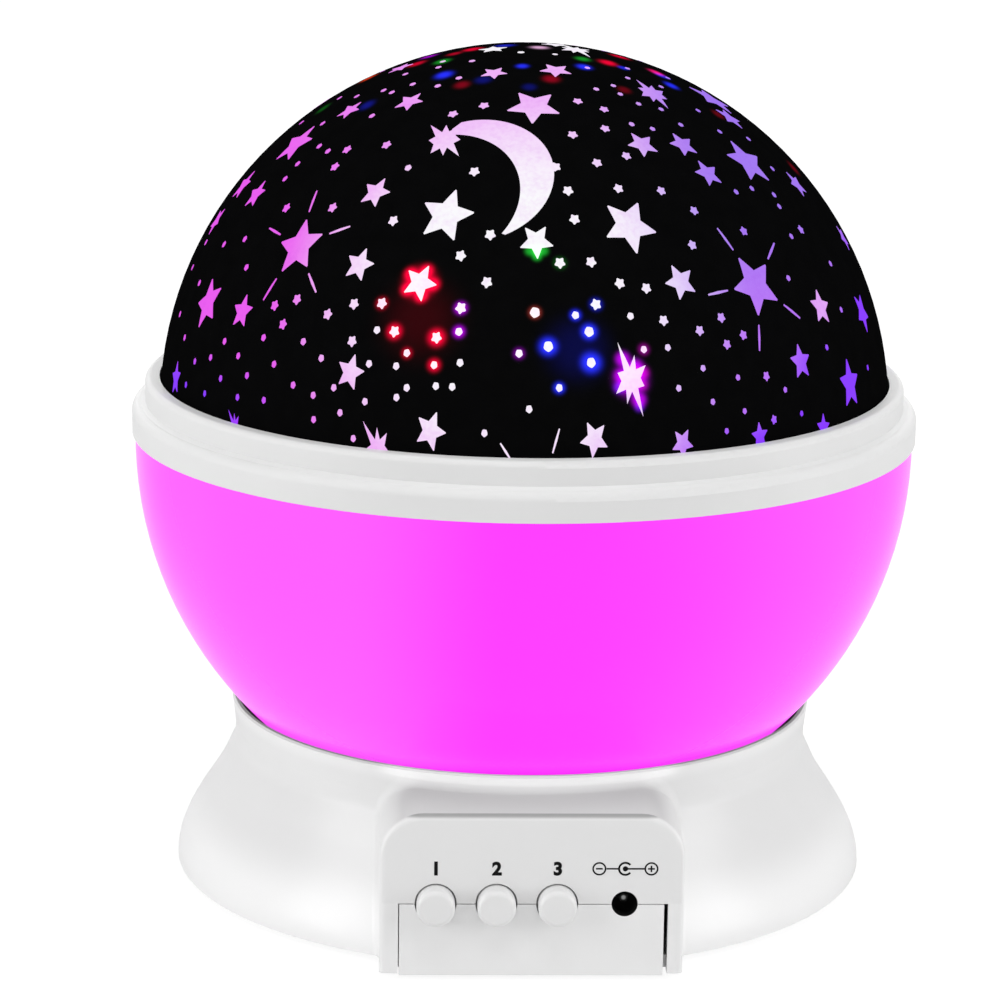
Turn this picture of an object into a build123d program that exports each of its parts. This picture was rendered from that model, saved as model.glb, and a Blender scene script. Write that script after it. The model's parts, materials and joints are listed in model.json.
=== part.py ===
"""Star night light projector: a ball-shaped lamp that turns on a flared base.

Millimetres, +Z up, origin on the turning axis at the level of the surface it stands on.
The control panel faces -Y. Each function builds one physical piece, exported as one STEP.
"""
from build123d import *
import math
import os

# ---------------------------------------------------------------- heights and main radii
FOOT_STAND = 1.0        # the rubber feet carry the base this far above the table
BOWL_R = 62.0           # outer sphere of the coloured bowl; its height follows from the rim
BOWL_WALL = 2.0
DOME_RISE = 4.6         # the dome's sphere is centred this far above the bowl's
DOME_WALL = 1.8
RUN_FIT = 0.05          # radial clearance of a turning or sliding fit
SLIP = 0.3              # gap between neighbours that must not rub
SEAM = 0.15             # gap along a closed seam
MARGIN = 1.0            # cuts run this far past a face, and picked edges lie this far inside

# ---------------------------------------------------------------- base shell
RIM_TOP_Z = 28.3        # the rim ends close round the bowl
RIM_GAP = 0.45
RIM_LIP = 0.5           # the rim stands out this far over the neck
NECK_ROOM = 1.65        # the neck's outside stands this far past the battery bay's far corner
FLARE_OUT = 9.45        # how far the skirt's foot stands out past the neck
SKIRT_WALL = 2.2        # measured level, so about 1.8 square to the slope
RIM_WALL = 0.85
RIM_BEVEL = 0.3
FLARE_POINTS = 7
DECK_TOP_Z = 19.3       # the deck carries the lamp post, the motor and the bowl
DECK_T = 1.8

# ---------------------------------------------------------------- control panel hood
HOOD_W = 45.7
HOOD_PROUD = 2.35       # the flat face stands this far in front of the skirt's foot
HOOD_UNDER = 0.2        # flat left between the hood's blend and the rim's bevel
HOOD_OVER = 2.5         # the hood's top stands this far above the top of the flare
HOOD_CORNER = 6.6
HOOD_EDGE = 0.9
HOOD_WALL = 1.8
HOOD_DEEP = 20.0
HOOD_BLEND = 1.8        # soft blend where the hood runs into the skirt
SPLIT_Z = 12.1          # seam between the hood and the bottom cover's tab
TAB_W = 39.7
TAB_GAP = 0.6           # the open gap at the tab's right side
TAB_DROP = 0.3          # the tab ends this far below the hood's legs
TAB_LAP = 0.9           # the floor behind the tab closes the gaps at its sides

# ---------------------------------------------------------------- buttons and their switches
BUTTON_X = (-14.4, -5.3, 3.8)
BUTTON_R = 2.9
BUTTON_GAP = 0.25
BUTTON_PROUD = 2.8
BUTTON_EDGE = 0.8
BUTTON_TRAVEL = 0.8
BUTTON_FLANGE = 0.9     # how far the captive flange stands out past the cap
BUTTON_FLANGE_T = 0.8
STEM_R = 1.3
PANEL_DEEP = 9.1        # from the panel's inside to the upright control board
BOARD_T = 1.6
BOARD_Z = (4.6, 16.9)
SWITCH_W = 6.0
SWITCH_DEEP = 3.5
PLUNGER_R = 1.75
PLUNGER_OUT = 1.3
PLUNGER_IN = 1.2        # length of plunger inside the switch at rest
RAIL_WALL = 1.2         # slotted posts that hold the board
RAIL_LAP = 1.0          # hold of each post on the board's end
RAIL_SHORT = 3.0

# ---------------------------------------------------------------- power socket
SOCKET_X = 13.9
SOCKET_MOUTH_R = 1.95   # plug bore through the hood wall and the housing's mouth
SOCKET_MOUTH_L = 0.6
SOCKET_CHAMBER_R = 2.5  # wider chamber behind the mouth, for the plug's spring contact
SOCKET_W = 7.0
SOCKET_H = 6.4
SOCKET_PIN_R = 0.65
SOCKET_FLOOR_T = 1.2

# ---------------------------------------------------------------- bottom cover and battery bay
COVER_T = 2.0
COVER_SINK = 0.3        # the cover's face sits this far inside the skirt's edge
CELL_R = 5.25           # AAA cell
CELL_L = 43.5
CELL_NUB_R = 1.9
CELL_NUB_L = 1.0
CELLS = 4
CELL_PITCH = 10.9
PLATE_SHARE = 0.7       # half width of an end plate as a share of the cell's radius
LEAF_SHARE = 0.6
BAY_Y = 14.0            # middle of the battery bay
BAY_WALL = 1.5
BAY_CORNER = 3.0
CONTACT_T = 0.4
LEAF_L = 3.6            # room for the bent contact at each cell's flat end
DOOR_T = 1.5
DOOR_LEDGE = 1.6        # how far the door overlaps the bay's edge
DOOR_TONGUE_W = 10.0
DOOR_TONGUE_L = 6.6
DOOR_BOSS_H = 6.0
DOOR_HEAD_DEEP = 0.9
DOOR_SCREW_L = 5.0
SCREW_ANGLES = (70, 110, 205, 335)
SCREW_INSET = 5.45      # screws stand this far inside the skirt's inner radius
SCREW_BOSS_R = 3.0
SCREW_R = 1.2
SCREW_HEAD_R = 2.3
SCREW_HEAD_T = 1.4
SCREW_PAD_R = 4.0       # thicker pad of the cover round each screw
SCREW_PAD_T = 1.5
SCREW_SINK = 0.4        # heads lie this deep in their recess
SCREW_GRIP = 7.0        # length of screw in its boss
PILOT_GAP = 0.02
HEAD_GAP = 0.3
FOOT_ANGLES = (40, 140, 234, 306)
FOOT_INSET = 6.3
FOOT_R = 4.5
FOOT_RECESS = 0.9
FOOT_BEVEL = 0.4

# ---------------------------------------------------------------- turning gear
GEAR_MODULE = 0.8
GEAR_TEETH = 60
PINION_TEETH = 12
GEAR_BACKLASH = 0.15    # taken off each tooth's width
PRESSURE_ANGLE = 20.0
DEDENDUM = 1.25         # depth of a tooth's root below the pitch circle, in modules
GEAR_T = 3.2
GEAR_TOP_Z = 24.0       # the gear is screwed flat under the bowl's floor
GEAR_INNER_GAP = 0.75   # between the bowl's sleeve and the gear
PINION_ANGLE = -124.0   # where the motor stands round the axis
MOTOR_R = 10.0
MOTOR_H = 12.0
MOTOR_EAR_PITCH = 27.0
MOTOR_EAR_T = 1.5
MOTOR_EAR_R = 3.0
MOTOR_COLLAR_R = 2.8
MOTOR_SHAFT_R = 1.0
MOTOR_SHAFT_IN = 6.0

# ---------------------------------------------------------------- lamp post and lamp board
POST_R = 11.0           # bearing the bowl turns on
POST_BORE_R = 6.5
POST_FLANGE_EDGE = 2.8  # from the flange's screws to its edge
POST_FLANGE_T = 1.5
POST_NECK_WALL = 1.7
POST_TOP_Z = 47.0
SLEEVE_WALL = 2.2       # bowl hub sleeve
SLEEVE_TOP_Z = 30.0
CLIP_T = 0.8
CLIP_PLAY = 0.2         # lift the bowl has under the clip
CLIP_GROOVE = 0.9
CLIP_W = 3.4
CLIP_OPENING = 70.0     # degrees left open in the retaining clip
HOLDER_R = 25.0
HOLDER_T = 1.6
HOLDER_RIM_H = 4.5
HOLDER_WALL = 1.2
HOLDER_SLEEVE_L = 7.0   # how far the dish reaches down over the post's neck
LAMP_BOARD_GAP = 0.6    # between the lamp board and the dish's rim
LAMP_BOARD_T = 1.6
LAMP_STANDOFF = 2.0
LED_CIRCLE_R = 11.5
LED_R = 2.5
LED_FLANGE_R = 2.9
LED_FLANGE_T = 1.0
LED_H = 7.6
LED_TIP = 1.1
WIRE_HOLE_R = 2.0
SMALL_SCREW_R = 0.9
SMALL_HEAD_R = 1.7
SMALL_HEAD_T = 1.1
SMALL_SCREWS = 3        # number of screws on each of the circles below
POST_SCREW_OUT = 3.2    # from the post's bearing to the screws through its flange
POST_SCREW_AT = 30.0    # angle of the first screw
GEAR_SCREW_IN = 4.0     # from the gear's inner edge to its screws
GEAR_SCREW_AT = 90.0
LAMP_SCREW_IN = 4.2     # from the lamp board's edge to its screws
LAMP_SCREW_AT = 60.0
LED_AT = 45.0

# ---------------------------------------------------------------- dome ring
RING_SEAT = 1.5         # the ring sits on the bowl this far above its widest place
RING_PROUD = 0.5        # the lower band stands out this far past the bowl
RING_BAND_H = 4.6
RING_STEP_IN = 2.1      # the upper lip stands in this far from the band
RING_LIP_WALL = 2.0
RING_H = 8.7
RING_ROUND = 1.4
RING_LIP_ROUND = 1.0
RING_LEDGE_UP = 0.2     # the dome's edge stands on a ledge this far above the band
RING_LEDGE_W = 2.9
RING_LEDGE_T = 1.8
RING_SLOPE = 0.4        # the band's top rises this much towards the lip
SPIGOT_DEEP = 4.5
SPIGOT_WALL = 1.7

# ---------------------------------------------------------------- worked out from the above
BASE_Z = FOOT_STAND
HOOD_TOP_Z = RIM_TOP_Z - RIM_BEVEL - HOOD_BLEND - HOOD_UNDER
FLARE_H = HOOD_TOP_Z - HOOD_OVER - BASE_Z      # height over which the skirt flares
BAY_X = (CELL_L + CELL_NUB_L + 2 * CONTACT_T + LEAF_L) / 2 + SEAM
BAY_HALF_Y = CELLS * CELL_PITCH / 2 + SLIP
BAY_FAR_X = BAY_X + BAY_WALL - BAY_CORNER
BAY_FAR_Y = BAY_Y + BAY_HALF_Y + BAY_WALL - BAY_CORNER
NECK_R = math.hypot(BAY_FAR_X, BAY_FAR_Y) + BAY_CORNER + NECK_ROOM
RIM_R = NECK_R + RIM_LIP
BOWL_AT_RIM_R = RIM_R - RIM_WALL - RIM_GAP
BOWL_CENTRE_Z = RIM_TOP_Z + math.sqrt(BOWL_R ** 2 - BOWL_AT_RIM_R ** 2)
RING_R = BOWL_R + RING_PROUD
RING_LIP_R = RING_R - RING_STEP_IN
RING_BOTTOM_Z = BOWL_CENTRE_Z + RING_SEAT
RING_STEP_Z = RING_BOTTOM_Z + RING_BAND_H
RING_LEDGE_Z = RING_STEP_Z + RING_LEDGE_UP
RING_TOP_Z = RING_BOTTOM_Z + RING_H
DOME_R = RING_LIP_R - RING_LIP_WALL - SLIP
DOME_CENTRE_Z = BOWL_CENTRE_Z + DOME_RISE
RING_LEDGE_R = DOME_R - RING_LEDGE_W
SKIRT_R = NECK_R + FLARE_OUT
HOOD_FACE_Y = -SKIRT_R - HOOD_PROUD
HOOD_BACK_Y = HOOD_FACE_Y + HOOD_DEEP
DECK_Z = DECK_TOP_Z - DECK_T
HOOD_IN_Y = HOOD_FACE_Y + HOOD_WALL
BOARD_FRONT_Y = HOOD_IN_Y + PANEL_DEEP
BOARD_HALF_X = SOCKET_X + SOCKET_W / 2 + SLIP + RAIL_LAP
HOOD_X = HOOD_W / 2
TAB_X = TAB_W / 2
COVER_Z = BASE_Z + COVER_SINK
COVER_TOP_Z = COVER_Z + COVER_T
SKIRT_IN_R = SKIRT_R - SKIRT_WALL
BOWL_IN_R = BOWL_R - BOWL_WALL
BOWL_FLOOR_Z = GEAR_TOP_Z
SLEEVE_R = POST_R + RUN_FIT
SLEEVE_OUT_R = SLEEVE_R + SLEEVE_WALL
GEAR_INNER_R = SLEEVE_OUT_R + GEAR_INNER_GAP
GEAR_SCREW_R = GEAR_INNER_R + GEAR_SCREW_IN
POST_SCREW_R = POST_R + POST_SCREW_OUT
POST_FLANGE_R = POST_SCREW_R + POST_FLANGE_EDGE
POST_NECK_R = POST_BORE_R + POST_NECK_WALL
HOLDER_TOP_Z = POST_TOP_Z + HOLDER_T
LAMP_BOARD_R = HOLDER_R - HOLDER_WALL - LAMP_BOARD_GAP
LAMP_SCREW_R = LAMP_BOARD_R - LAMP_SCREW_IN
LAMP_BOARD_Z = HOLDER_TOP_Z + LAMP_STANDOFF
LED_Z = LAMP_BOARD_Z + LAMP_BOARD_T
DOOR_Z = COVER_Z
DOOR_TOP_Z = DOOR_Z + DOOR_T
CELL_Z = DOOR_TOP_Z + SLIP + CELL_R
BAY_TOP_Z = CELL_Z + CELL_R + SLIP
PITCH_R = GEAR_MODULE * GEAR_TEETH / 2
PINION_R = GEAR_MODULE * PINION_TEETH / 2
GEAR_CENTRES = PITCH_R + PINION_R
MOTOR_X = GEAR_CENTRES * math.cos(math.radians(PINION_ANGLE))
MOTOR_Y = GEAR_CENTRES * math.sin(math.radians(PINION_ANGLE))
MOTOR_Z = DECK_Z - MOTOR_H
PANEL_Z = SPLIT_Z       # buttons and socket sit on the seam
TAB_BOTTOM_Z = BASE_Z - TAB_DROP
BOSS_Z = COVER_TOP_Z + SCREW_PAD_T
DOOR_SCREW_Y = BAY_Y + BAY_HALF_Y + DOOR_LEDGE + DOOR_TONGUE_L / 2
PINION_TOP_Z = GEAR_TOP_Z - SLIP
CLIP_Z = SLEEVE_TOP_Z + CLIP_PLAY
SWITCH_Y = BOARD_FRONT_Y - SWITCH_DEEP
PLUNGER_Y = SWITCH_Y - PLUNGER_OUT


def disc(radius, low, high, x=0.0, y=0.0):
    """Upright cylinder between two heights."""
    return Pos(x, y, (low + high) / 2) * Cylinder(radius, high - low)


def block(x, y, z):
    """Block between two corners given as (low, high) pairs."""
    size = (x[1] - x[0], y[1] - y[0], z[1] - z[0])
    return Pos(sum(x) / 2, sum(y) / 2, sum(z) / 2) * Box(*size)


def rod(radius, front, back, x, z):
    """Cylinder along Y between two depths."""
    return Pos(x, (front + back) / 2, z) * Rot(90, 0, 0) * Cylinder(radius, back - front)


def turned(points):
    """Solid turned about Z from an outline of straight lines in (radius, height)."""
    return revolve(Plane.XZ * make_face(Polyline(*points, close=True)), Axis.Z)


def ring_places(count, radius, first=0.0):
    """Evenly spaced (x, y) places on a circle."""
    angles = [math.radians(first + 360 * i / count) for i in range(count)]
    return [(radius * math.cos(a), radius * math.sin(a)) for a in angles]


def rim_places(angles, inset):
    """Places near the base's edge, as (x, y), for screws and feet."""
    radius = SKIRT_IN_R - inset
    turns = [math.radians(angle) for angle in angles]
    return [(radius * math.cos(turn), radius * math.sin(turn)) for turn in turns]


def flare_radius(z):
    """Skirt radius at a height: half a cosine wave from the foot to the neck."""
    share = min(max((z - BASE_Z) / FLARE_H, 0.0), 1.0)
    return NECK_R + (SKIRT_R - NECK_R) * 0.5 * (1 + math.cos(math.pi * share))


def flare_points(inset):
    """Points of the flare, moved in by the wall."""
    heights = [BASE_Z + FLARE_H * i / (FLARE_POINTS - 1) for i in range(FLARE_POINTS)]
    return [(flare_radius(z) - inset, z) for z in heights]


def flared_body(inset, rim_radius, bevel):
    """Solid of revolution under the flare, moved in by a wall; its rim may be bevelled."""
    neck = NECK_R - inset
    neck_z = BASE_Z + FLARE_H
    outline = [
        Line((0, BASE_Z), (SKIRT_R - inset, BASE_Z)),
        Spline(*flare_points(inset), tangents=[(0, 1), (0, 1)]),
        Polyline((neck, neck_z), (rim_radius, RIM_TOP_Z - bevel), (rim_radius - bevel, RIM_TOP_Z),
                 (0, RIM_TOP_Z), (0, BASE_Z)) if bevel else
        Polyline((neck, neck_z), (rim_radius, RIM_TOP_Z), (0, RIM_TOP_Z), (0, BASE_Z)),
    ]
    return revolve(Plane.XZ * make_face(outline), Axis.Z)


def arch_block(half_width, top, corner, front):
    """Panel hood form: flat front, two rounded top corners, carried back into the skirt."""
    shoulder = top - corner
    inner = half_width - corner
    outline = make_face([
        Polyline((-half_width, shoulder), (-half_width, BASE_Z), (half_width, BASE_Z),
                 (half_width, shoulder)),
        RadiusArc((half_width, shoulder), (inner, top), -corner),
        Line((inner, top), (-inner, top)),
        RadiusArc((-inner, top), (-half_width, shoulder), -corner),
    ])
    plane = Plane(origin=(0, HOOD_BACK_Y, 0), x_dir=(1, 0, 0), z_dir=(0, -1, 0))
    return extrude(plane * outline, HOOD_BACK_Y - front)


def panel_holes():
    """Round holes on the seam for the three buttons and the plug."""
    front, back = HOOD_FACE_Y - MARGIN, HOOD_IN_Y + MARGIN
    holes = [rod(BUTTON_R + BUTTON_GAP, front, back, x, PANEL_Z) for x in BUTTON_X]
    holes.append(rod(SOCKET_MOUTH_R, front, back, SOCKET_X, PANEL_Z))
    return holes


def motor_ear_places():
    """The motor's two screw ears, square to the line from the axis to the motor."""
    along = math.radians(PINION_ANGLE + 90)
    reach = MOTOR_EAR_PITCH / 2
    return [(MOTOR_X + side * reach * math.cos(along), MOTOR_Y + side * reach * math.sin(along))
            for side in (-1, 1)]


def hooded_skirt():
    """Outer form of the base: the flare with the panel hood blended into its front."""
    outer = flared_body(0, RIM_R, RIM_BEVEL) + arch_block(HOOD_X, HOOD_TOP_Z, HOOD_CORNER, HOOD_FACE_Y)
    joins = [
        edge for edge in outer.edges()
        if edge.geom_type != GeomType.LINE
        and HOOD_FACE_Y + HOOD_EDGE < edge.center().Y < 0
        and abs(edge.center().X) < HOOD_X + SLIP
        and BASE_Z + MARGIN < edge.center().Z < RIM_TOP_Z - MARGIN
    ]
    outer = fillet(joins, HOOD_BLEND)
    front = [
        edge for edge in outer.edges()
        if abs(edge.center().Y - HOOD_FACE_Y) < 0.01 and edge.center().Z > BASE_Z + MARGIN
    ]
    return fillet(front, HOOD_EDGE)


def base_shell():
    """Flared skirt with the panel hood, rim, deck and screw bosses in one moulding."""
    shell = hooded_skirt() - flared_body(SKIRT_WALL, RIM_R - RIM_WALL, 0)
    shell -= arch_block(HOOD_X - HOOD_WALL, HOOD_TOP_Z - HOOD_WALL,
                        HOOD_CORNER - HOOD_WALL, HOOD_IN_Y)
    shell -= block((-TAB_X - SEAM, TAB_X + TAB_GAP), (HOOD_FACE_Y - MARGIN, HOOD_IN_Y + SLIP),
                   (BASE_Z - MARGIN, SPLIT_Z))
    shell -= panel_holes()
    core = flared_body(SKIRT_WALL / 2, RIM_R - RIM_WALL, 0)
    bosses = [disc(SCREW_BOSS_R, BOSS_Z, DECK_Z, x, y) for x, y in rim_places(SCREW_ANGLES, SCREW_INSET)]
    deck = disc(flare_radius(DECK_TOP_Z) - SKIRT_WALL / 2, DECK_Z, DECK_TOP_Z)
    shell += [boss & core for boss in bosses] + [deck]
    shell -= [disc(SCREW_R + PILOT_GAP, BOSS_Z - MARGIN, BOSS_Z + SCREW_GRIP + MARGIN, x, y)
              for x, y in rim_places(SCREW_ANGLES, SCREW_INSET)]
    shell -= disc(POST_R + SLIP, DECK_Z - MARGIN, DECK_TOP_Z + MARGIN)
    shell -= disc(MOTOR_COLLAR_R + SLIP, DECK_Z - MARGIN, DECK_TOP_Z + MARGIN, MOTOR_X, MOTOR_Y)
    pilots = motor_ear_places() + ring_places(SMALL_SCREWS, POST_SCREW_R, POST_SCREW_AT)
    shell -= [disc(SMALL_SCREW_R + PILOT_GAP, DECK_Z - MARGIN, DECK_TOP_Z + MARGIN, x, y)
              for x, y in pilots]
    return shell


def bay_block(grow, low, high):
    """Block over the battery bay's plan, grown by an amount on every side."""
    x = BAY_X + grow
    y = BAY_HALF_Y + grow
    return block((-x, x), (BAY_Y - y, BAY_Y + y), (low, high))


def door_plan(gap, low, high):
    """The battery door's plan with its screw tongue, less a gap all round."""
    y_edge = BAY_Y + BAY_HALF_Y + DOOR_LEDGE
    tongue = block((-DOOR_TONGUE_W / 2 + gap, DOOR_TONGUE_W / 2 - gap),
                   (y_edge - MARGIN, y_edge + DOOR_TONGUE_L - gap), (low, high))
    return bay_block(DOOR_LEDGE - gap, low, high) + tongue


def base_bottom():
    """Bottom cover: round floor, front tab with half holes, battery bay, pads and rails."""
    floor_r = flare_radius(COVER_TOP_Z) - SKIRT_WALL - SLIP
    cover = disc(floor_r, COVER_Z, COVER_TOP_Z)
    cover += block((-TAB_X, TAB_X), (HOOD_FACE_Y, -HOOD_X), (COVER_Z, COVER_TOP_Z))
    cover += block((-TAB_X - TAB_LAP, TAB_X + TAB_LAP), (HOOD_IN_Y + SEAM, -HOOD_X),
                   (COVER_Z, COVER_TOP_Z))
    cover += block((-TAB_X, TAB_X), (HOOD_FACE_Y, HOOD_IN_Y), (TAB_BOTTOM_Z, SPLIT_Z - SEAM))
    cover -= panel_holes()
    bay = bay_block(BAY_WALL, COVER_Z, BAY_TOP_Z + BAY_WALL)
    cover += fillet(bay.edges().filter_by(Axis.Z), BAY_CORNER)
    cover += [disc(SCREW_PAD_R, COVER_Z, BOSS_Z, x, y) for x, y in rim_places(SCREW_ANGLES, SCREW_INSET)]
    cover += disc(SCREW_BOSS_R, COVER_Z, DOOR_TOP_Z + DOOR_BOSS_H, 0, DOOR_SCREW_Y)
    cover += board_rails()
    cover -= bay_block(0, COVER_Z - MARGIN, BAY_TOP_Z)
    cover -= door_plan(0, COVER_Z - MARGIN, DOOR_TOP_Z)
    cover -= disc(SCREW_R + PILOT_GAP, COVER_Z, DOOR_TOP_Z + DOOR_SCREW_L, 0, DOOR_SCREW_Y)
    for x, y in rim_places(SCREW_ANGLES, SCREW_INSET):
        cover -= disc(SCREW_HEAD_R + HEAD_GAP, COVER_Z - MARGIN, COVER_Z + SCREW_SINK + SCREW_HEAD_T, x, y)
        cover -= disc(SCREW_R + SEAM, COVER_Z, BOSS_Z + MARGIN, x, y)
    cover -= [disc(FOOT_R + SEAM, COVER_Z - MARGIN, COVER_Z + FOOT_RECESS, x, y)
              for x, y in rim_places(FOOT_ANGLES, FOOT_INSET)]
    return cover


def board_rails():
    """Two slotted posts that hold the upright control board by its ends."""
    y = (BOARD_FRONT_Y - RAIL_WALL, BOARD_FRONT_Y + BOARD_T + RAIL_WALL)
    slot = block((-BOARD_HALF_X - SEAM, BOARD_HALF_X + SEAM),
                 (BOARD_FRONT_Y - SEAM, BOARD_FRONT_Y + BOARD_T + SEAM), (BOARD_Z[0], BOARD_Z[1]))
    rails = []
    for side in (-1, 1):
        x = sorted((side * (BOARD_HALF_X - RAIL_LAP), side * (BOARD_HALF_X + RAIL_WALL)))
        rails.append(block(x, y, (COVER_Z, BOARD_Z[1] - RAIL_SHORT)) - slot)
    return rails


def rubber_feet():
    """Four round feet pressed into recesses of the cover."""
    feet = [disc(FOOT_R, 0, COVER_Z + FOOT_RECESS, x, y) for x, y in rim_places(FOOT_ANGLES, FOOT_INSET)]
    return [chamfer(foot.edges().group_by(Axis.Z)[0], FOOT_BEVEL) for foot in feet]


def screw(x, y, seat, length, radius, head_r, head_t, up):
    """Pan-head screw; its head lies on the seat height and its shank points up or down."""
    tip = seat + length if up else seat - length
    top = seat - head_t if up else seat + head_t
    head = disc(head_r, min(seat, top), max(seat, top), x, y)
    shank = disc(radius, min(seat, tip), max(seat, tip), x, y)
    return head + shank


def base_screws():
    """Four screws that close the cover, driven from below into the shell's bosses."""
    seat = COVER_Z + SCREW_SINK + SCREW_HEAD_T
    length = BOSS_Z + SCREW_GRIP - seat
    return [screw(x, y, seat, length, SCREW_R, SCREW_HEAD_R, SCREW_HEAD_T, True)
            for x, y in rim_places(SCREW_ANGLES, SCREW_INSET)]


def post_screws():
    """Three screws that hold the lamp post's flange under the deck."""
    seat = DECK_Z - POST_FLANGE_T
    return [screw(x, y, seat, POST_FLANGE_T + DECK_T, SMALL_SCREW_R, SMALL_HEAD_R,
                  SMALL_HEAD_T / 2, True) for x, y in ring_places(SMALL_SCREWS, POST_SCREW_R, POST_SCREW_AT)]


def motor_screws():
    """Two screws through the motor's ears into the deck."""
    seat = DECK_Z - MOTOR_EAR_T
    return [screw(x, y, seat, MOTOR_EAR_T + DECK_T, SMALL_SCREW_R, SMALL_HEAD_R,
                  SMALL_HEAD_T, True) for x, y in motor_ear_places()]


def gear_screws():
    """Three screws from inside the bowl into the turning gear."""
    seat = BOWL_FLOOR_Z + BOWL_WALL
    return [screw(x, y, seat, BOWL_WALL + GEAR_T - SLIP, SMALL_SCREW_R, SMALL_HEAD_R,
                  SMALL_HEAD_T, False) for x, y in ring_places(SMALL_SCREWS, GEAR_SCREW_R, GEAR_SCREW_AT)]


def lamp_screws():
    """Three screws that hold the lamp board on its holder."""
    length = LAMP_BOARD_T + LAMP_STANDOFF
    return [screw(x, y, LED_Z, length, SMALL_SCREW_R, SMALL_HEAD_R, SMALL_HEAD_T, False)
            for x, y in ring_places(SMALL_SCREWS, LAMP_SCREW_R, LAMP_SCREW_AT)]


def door_screw():
    """Screw through the door's tongue, so that a child can't open the battery bay."""
    seat = DOOR_Z + DOOR_HEAD_DEEP
    return screw(0, DOOR_SCREW_Y, seat, DOOR_SCREW_L, SCREW_R, SCREW_HEAD_R,
                 DOOR_HEAD_DEEP - SEAM, True)


def battery_door():
    """Flat door over the battery bay, with a tongue for its screw."""
    door = door_plan(SLIP, DOOR_Z, DOOR_TOP_Z)
    door -= disc(SCREW_HEAD_R + HEAD_GAP, DOOR_Z - MARGIN, DOOR_Z + DOOR_HEAD_DEEP, 0, DOOR_SCREW_Y)
    door -= disc(SCREW_R + SEAM, DOOR_Z - MARGIN, DOOR_TOP_Z + MARGIN, 0, DOOR_SCREW_Y)
    return door


def cell_rows():
    """Y of each cell and the side its raised end points to, turned end for end in turn."""
    first = BAY_Y - CELL_PITCH * (CELLS - 1) / 2
    return [(first + CELL_PITCH * i, 1 if i % 2 else -1) for i in range(CELLS)]


def along_x(radius, x0, x1, y):
    """Cylinder along X at the height of the cells."""
    return Pos((x0 + x1) / 2, y, CELL_Z) * Rot(0, 90, 0) * Cylinder(radius, abs(x1 - x0))


def battery_cells():
    """AAA cells side by side, each with its raised end."""
    cells = []
    for y, side in cell_rows():
        tip = side * (BAY_X - CONTACT_T - SEAM)
        shoulder = tip - side * CELL_NUB_L
        end = shoulder - side * CELL_L
        cells.append(along_x(CELL_R, end, shoulder, y) + along_x(CELL_NUB_R, shoulder, tip, y))
    return cells


def end_plates():
    """Flat contact behind each cell's raised end."""
    half = CELL_R * PLATE_SHARE
    return [block(sorted((side * (BAY_X - CONTACT_T), side * BAY_X)), (y - half, y + half),
                  (CELL_Z - half, CELL_Z + half)) for y, side in cell_rows()]


def leaf_contacts():
    """Bent leaf contact that presses on each cell's flat end."""
    leaves = []
    half = CELL_R * LEAF_SHARE
    for y, side in cell_rows():
        wall = BAY_X
        cell_end = BAY_X - LEAF_L + SEAM
        crown = (wall + cell_end) / 2
        outer = [(wall, CELL_Z - CELL_R), (wall, CELL_Z + CELL_R), (wall - CONTACT_T, CELL_Z + CELL_R),
                 (wall - CONTACT_T, CELL_Z - CELL_R / 2), (cell_end, CELL_Z + CONTACT_T),
                 (crown, CELL_Z + CELL_R / 2), (crown - CONTACT_T, CELL_Z + CELL_R / 2),
                 (cell_end - CONTACT_T, CELL_Z), (wall - CONTACT_T, CELL_Z - CELL_R)]
        face = make_face(Polyline(*[(-side * x, z) for x, z in outer], close=True))
        leaves.append(Pos(0, y + half, 0) * extrude(Plane.XZ * face, 2 * half))
    return leaves


def motor():
    """Geared motor: round can, two screw ears and a bearing collar for its shaft."""
    can = disc(MOTOR_R, MOTOR_Z, DECK_Z, MOTOR_X, MOTOR_Y)
    ears = motor_ear_places()
    middle = Pos(MOTOR_X, MOTOR_Y, DECK_Z - MOTOR_EAR_T / 2) * Rot(0, 0, PINION_ANGLE + 90)
    strap = middle * Box(MOTOR_EAR_PITCH, 2 * MOTOR_EAR_R, MOTOR_EAR_T)
    can += [strap] + [disc(MOTOR_EAR_R, DECK_Z - MOTOR_EAR_T, DECK_Z, x, y) for x, y in ears]
    can += disc(MOTOR_COLLAR_R, DECK_Z, DECK_TOP_Z, MOTOR_X, MOTOR_Y)
    can -= [disc(SMALL_SCREW_R + PILOT_GAP, DECK_Z - MOTOR_EAR_T, DECK_Z, x, y) for x, y in ears]
    return can - disc(MOTOR_SHAFT_R + RUN_FIT, DECK_TOP_Z - MOTOR_SHAFT_IN, DECK_TOP_Z,
                      MOTOR_X, MOTOR_Y)


def motor_shaft():
    """Steel output shaft, from inside the motor to the pinion's top."""
    return disc(MOTOR_SHAFT_R, DECK_TOP_Z - MOTOR_SHAFT_IN + SLIP, PINION_TOP_Z,
                MOTOR_X, MOTOR_Y)


def involute(angle):
    """Involute function, in radians."""
    return math.tan(angle) - angle


def tooth_half_angle(radius, teeth):
    """Half the angle that a tooth spans at a radius, from the involute of its base circle."""
    pitch = GEAR_MODULE * teeth / 2
    pressure = math.radians(PRESSURE_ANGLE)
    base = pitch * math.cos(pressure)
    at_radius = math.acos(min(base / radius, 1.0))
    at_pitch = math.pi / (2 * teeth) - GEAR_BACKLASH / (2 * pitch)
    return at_pitch + involute(pressure) - involute(at_radius)


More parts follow.
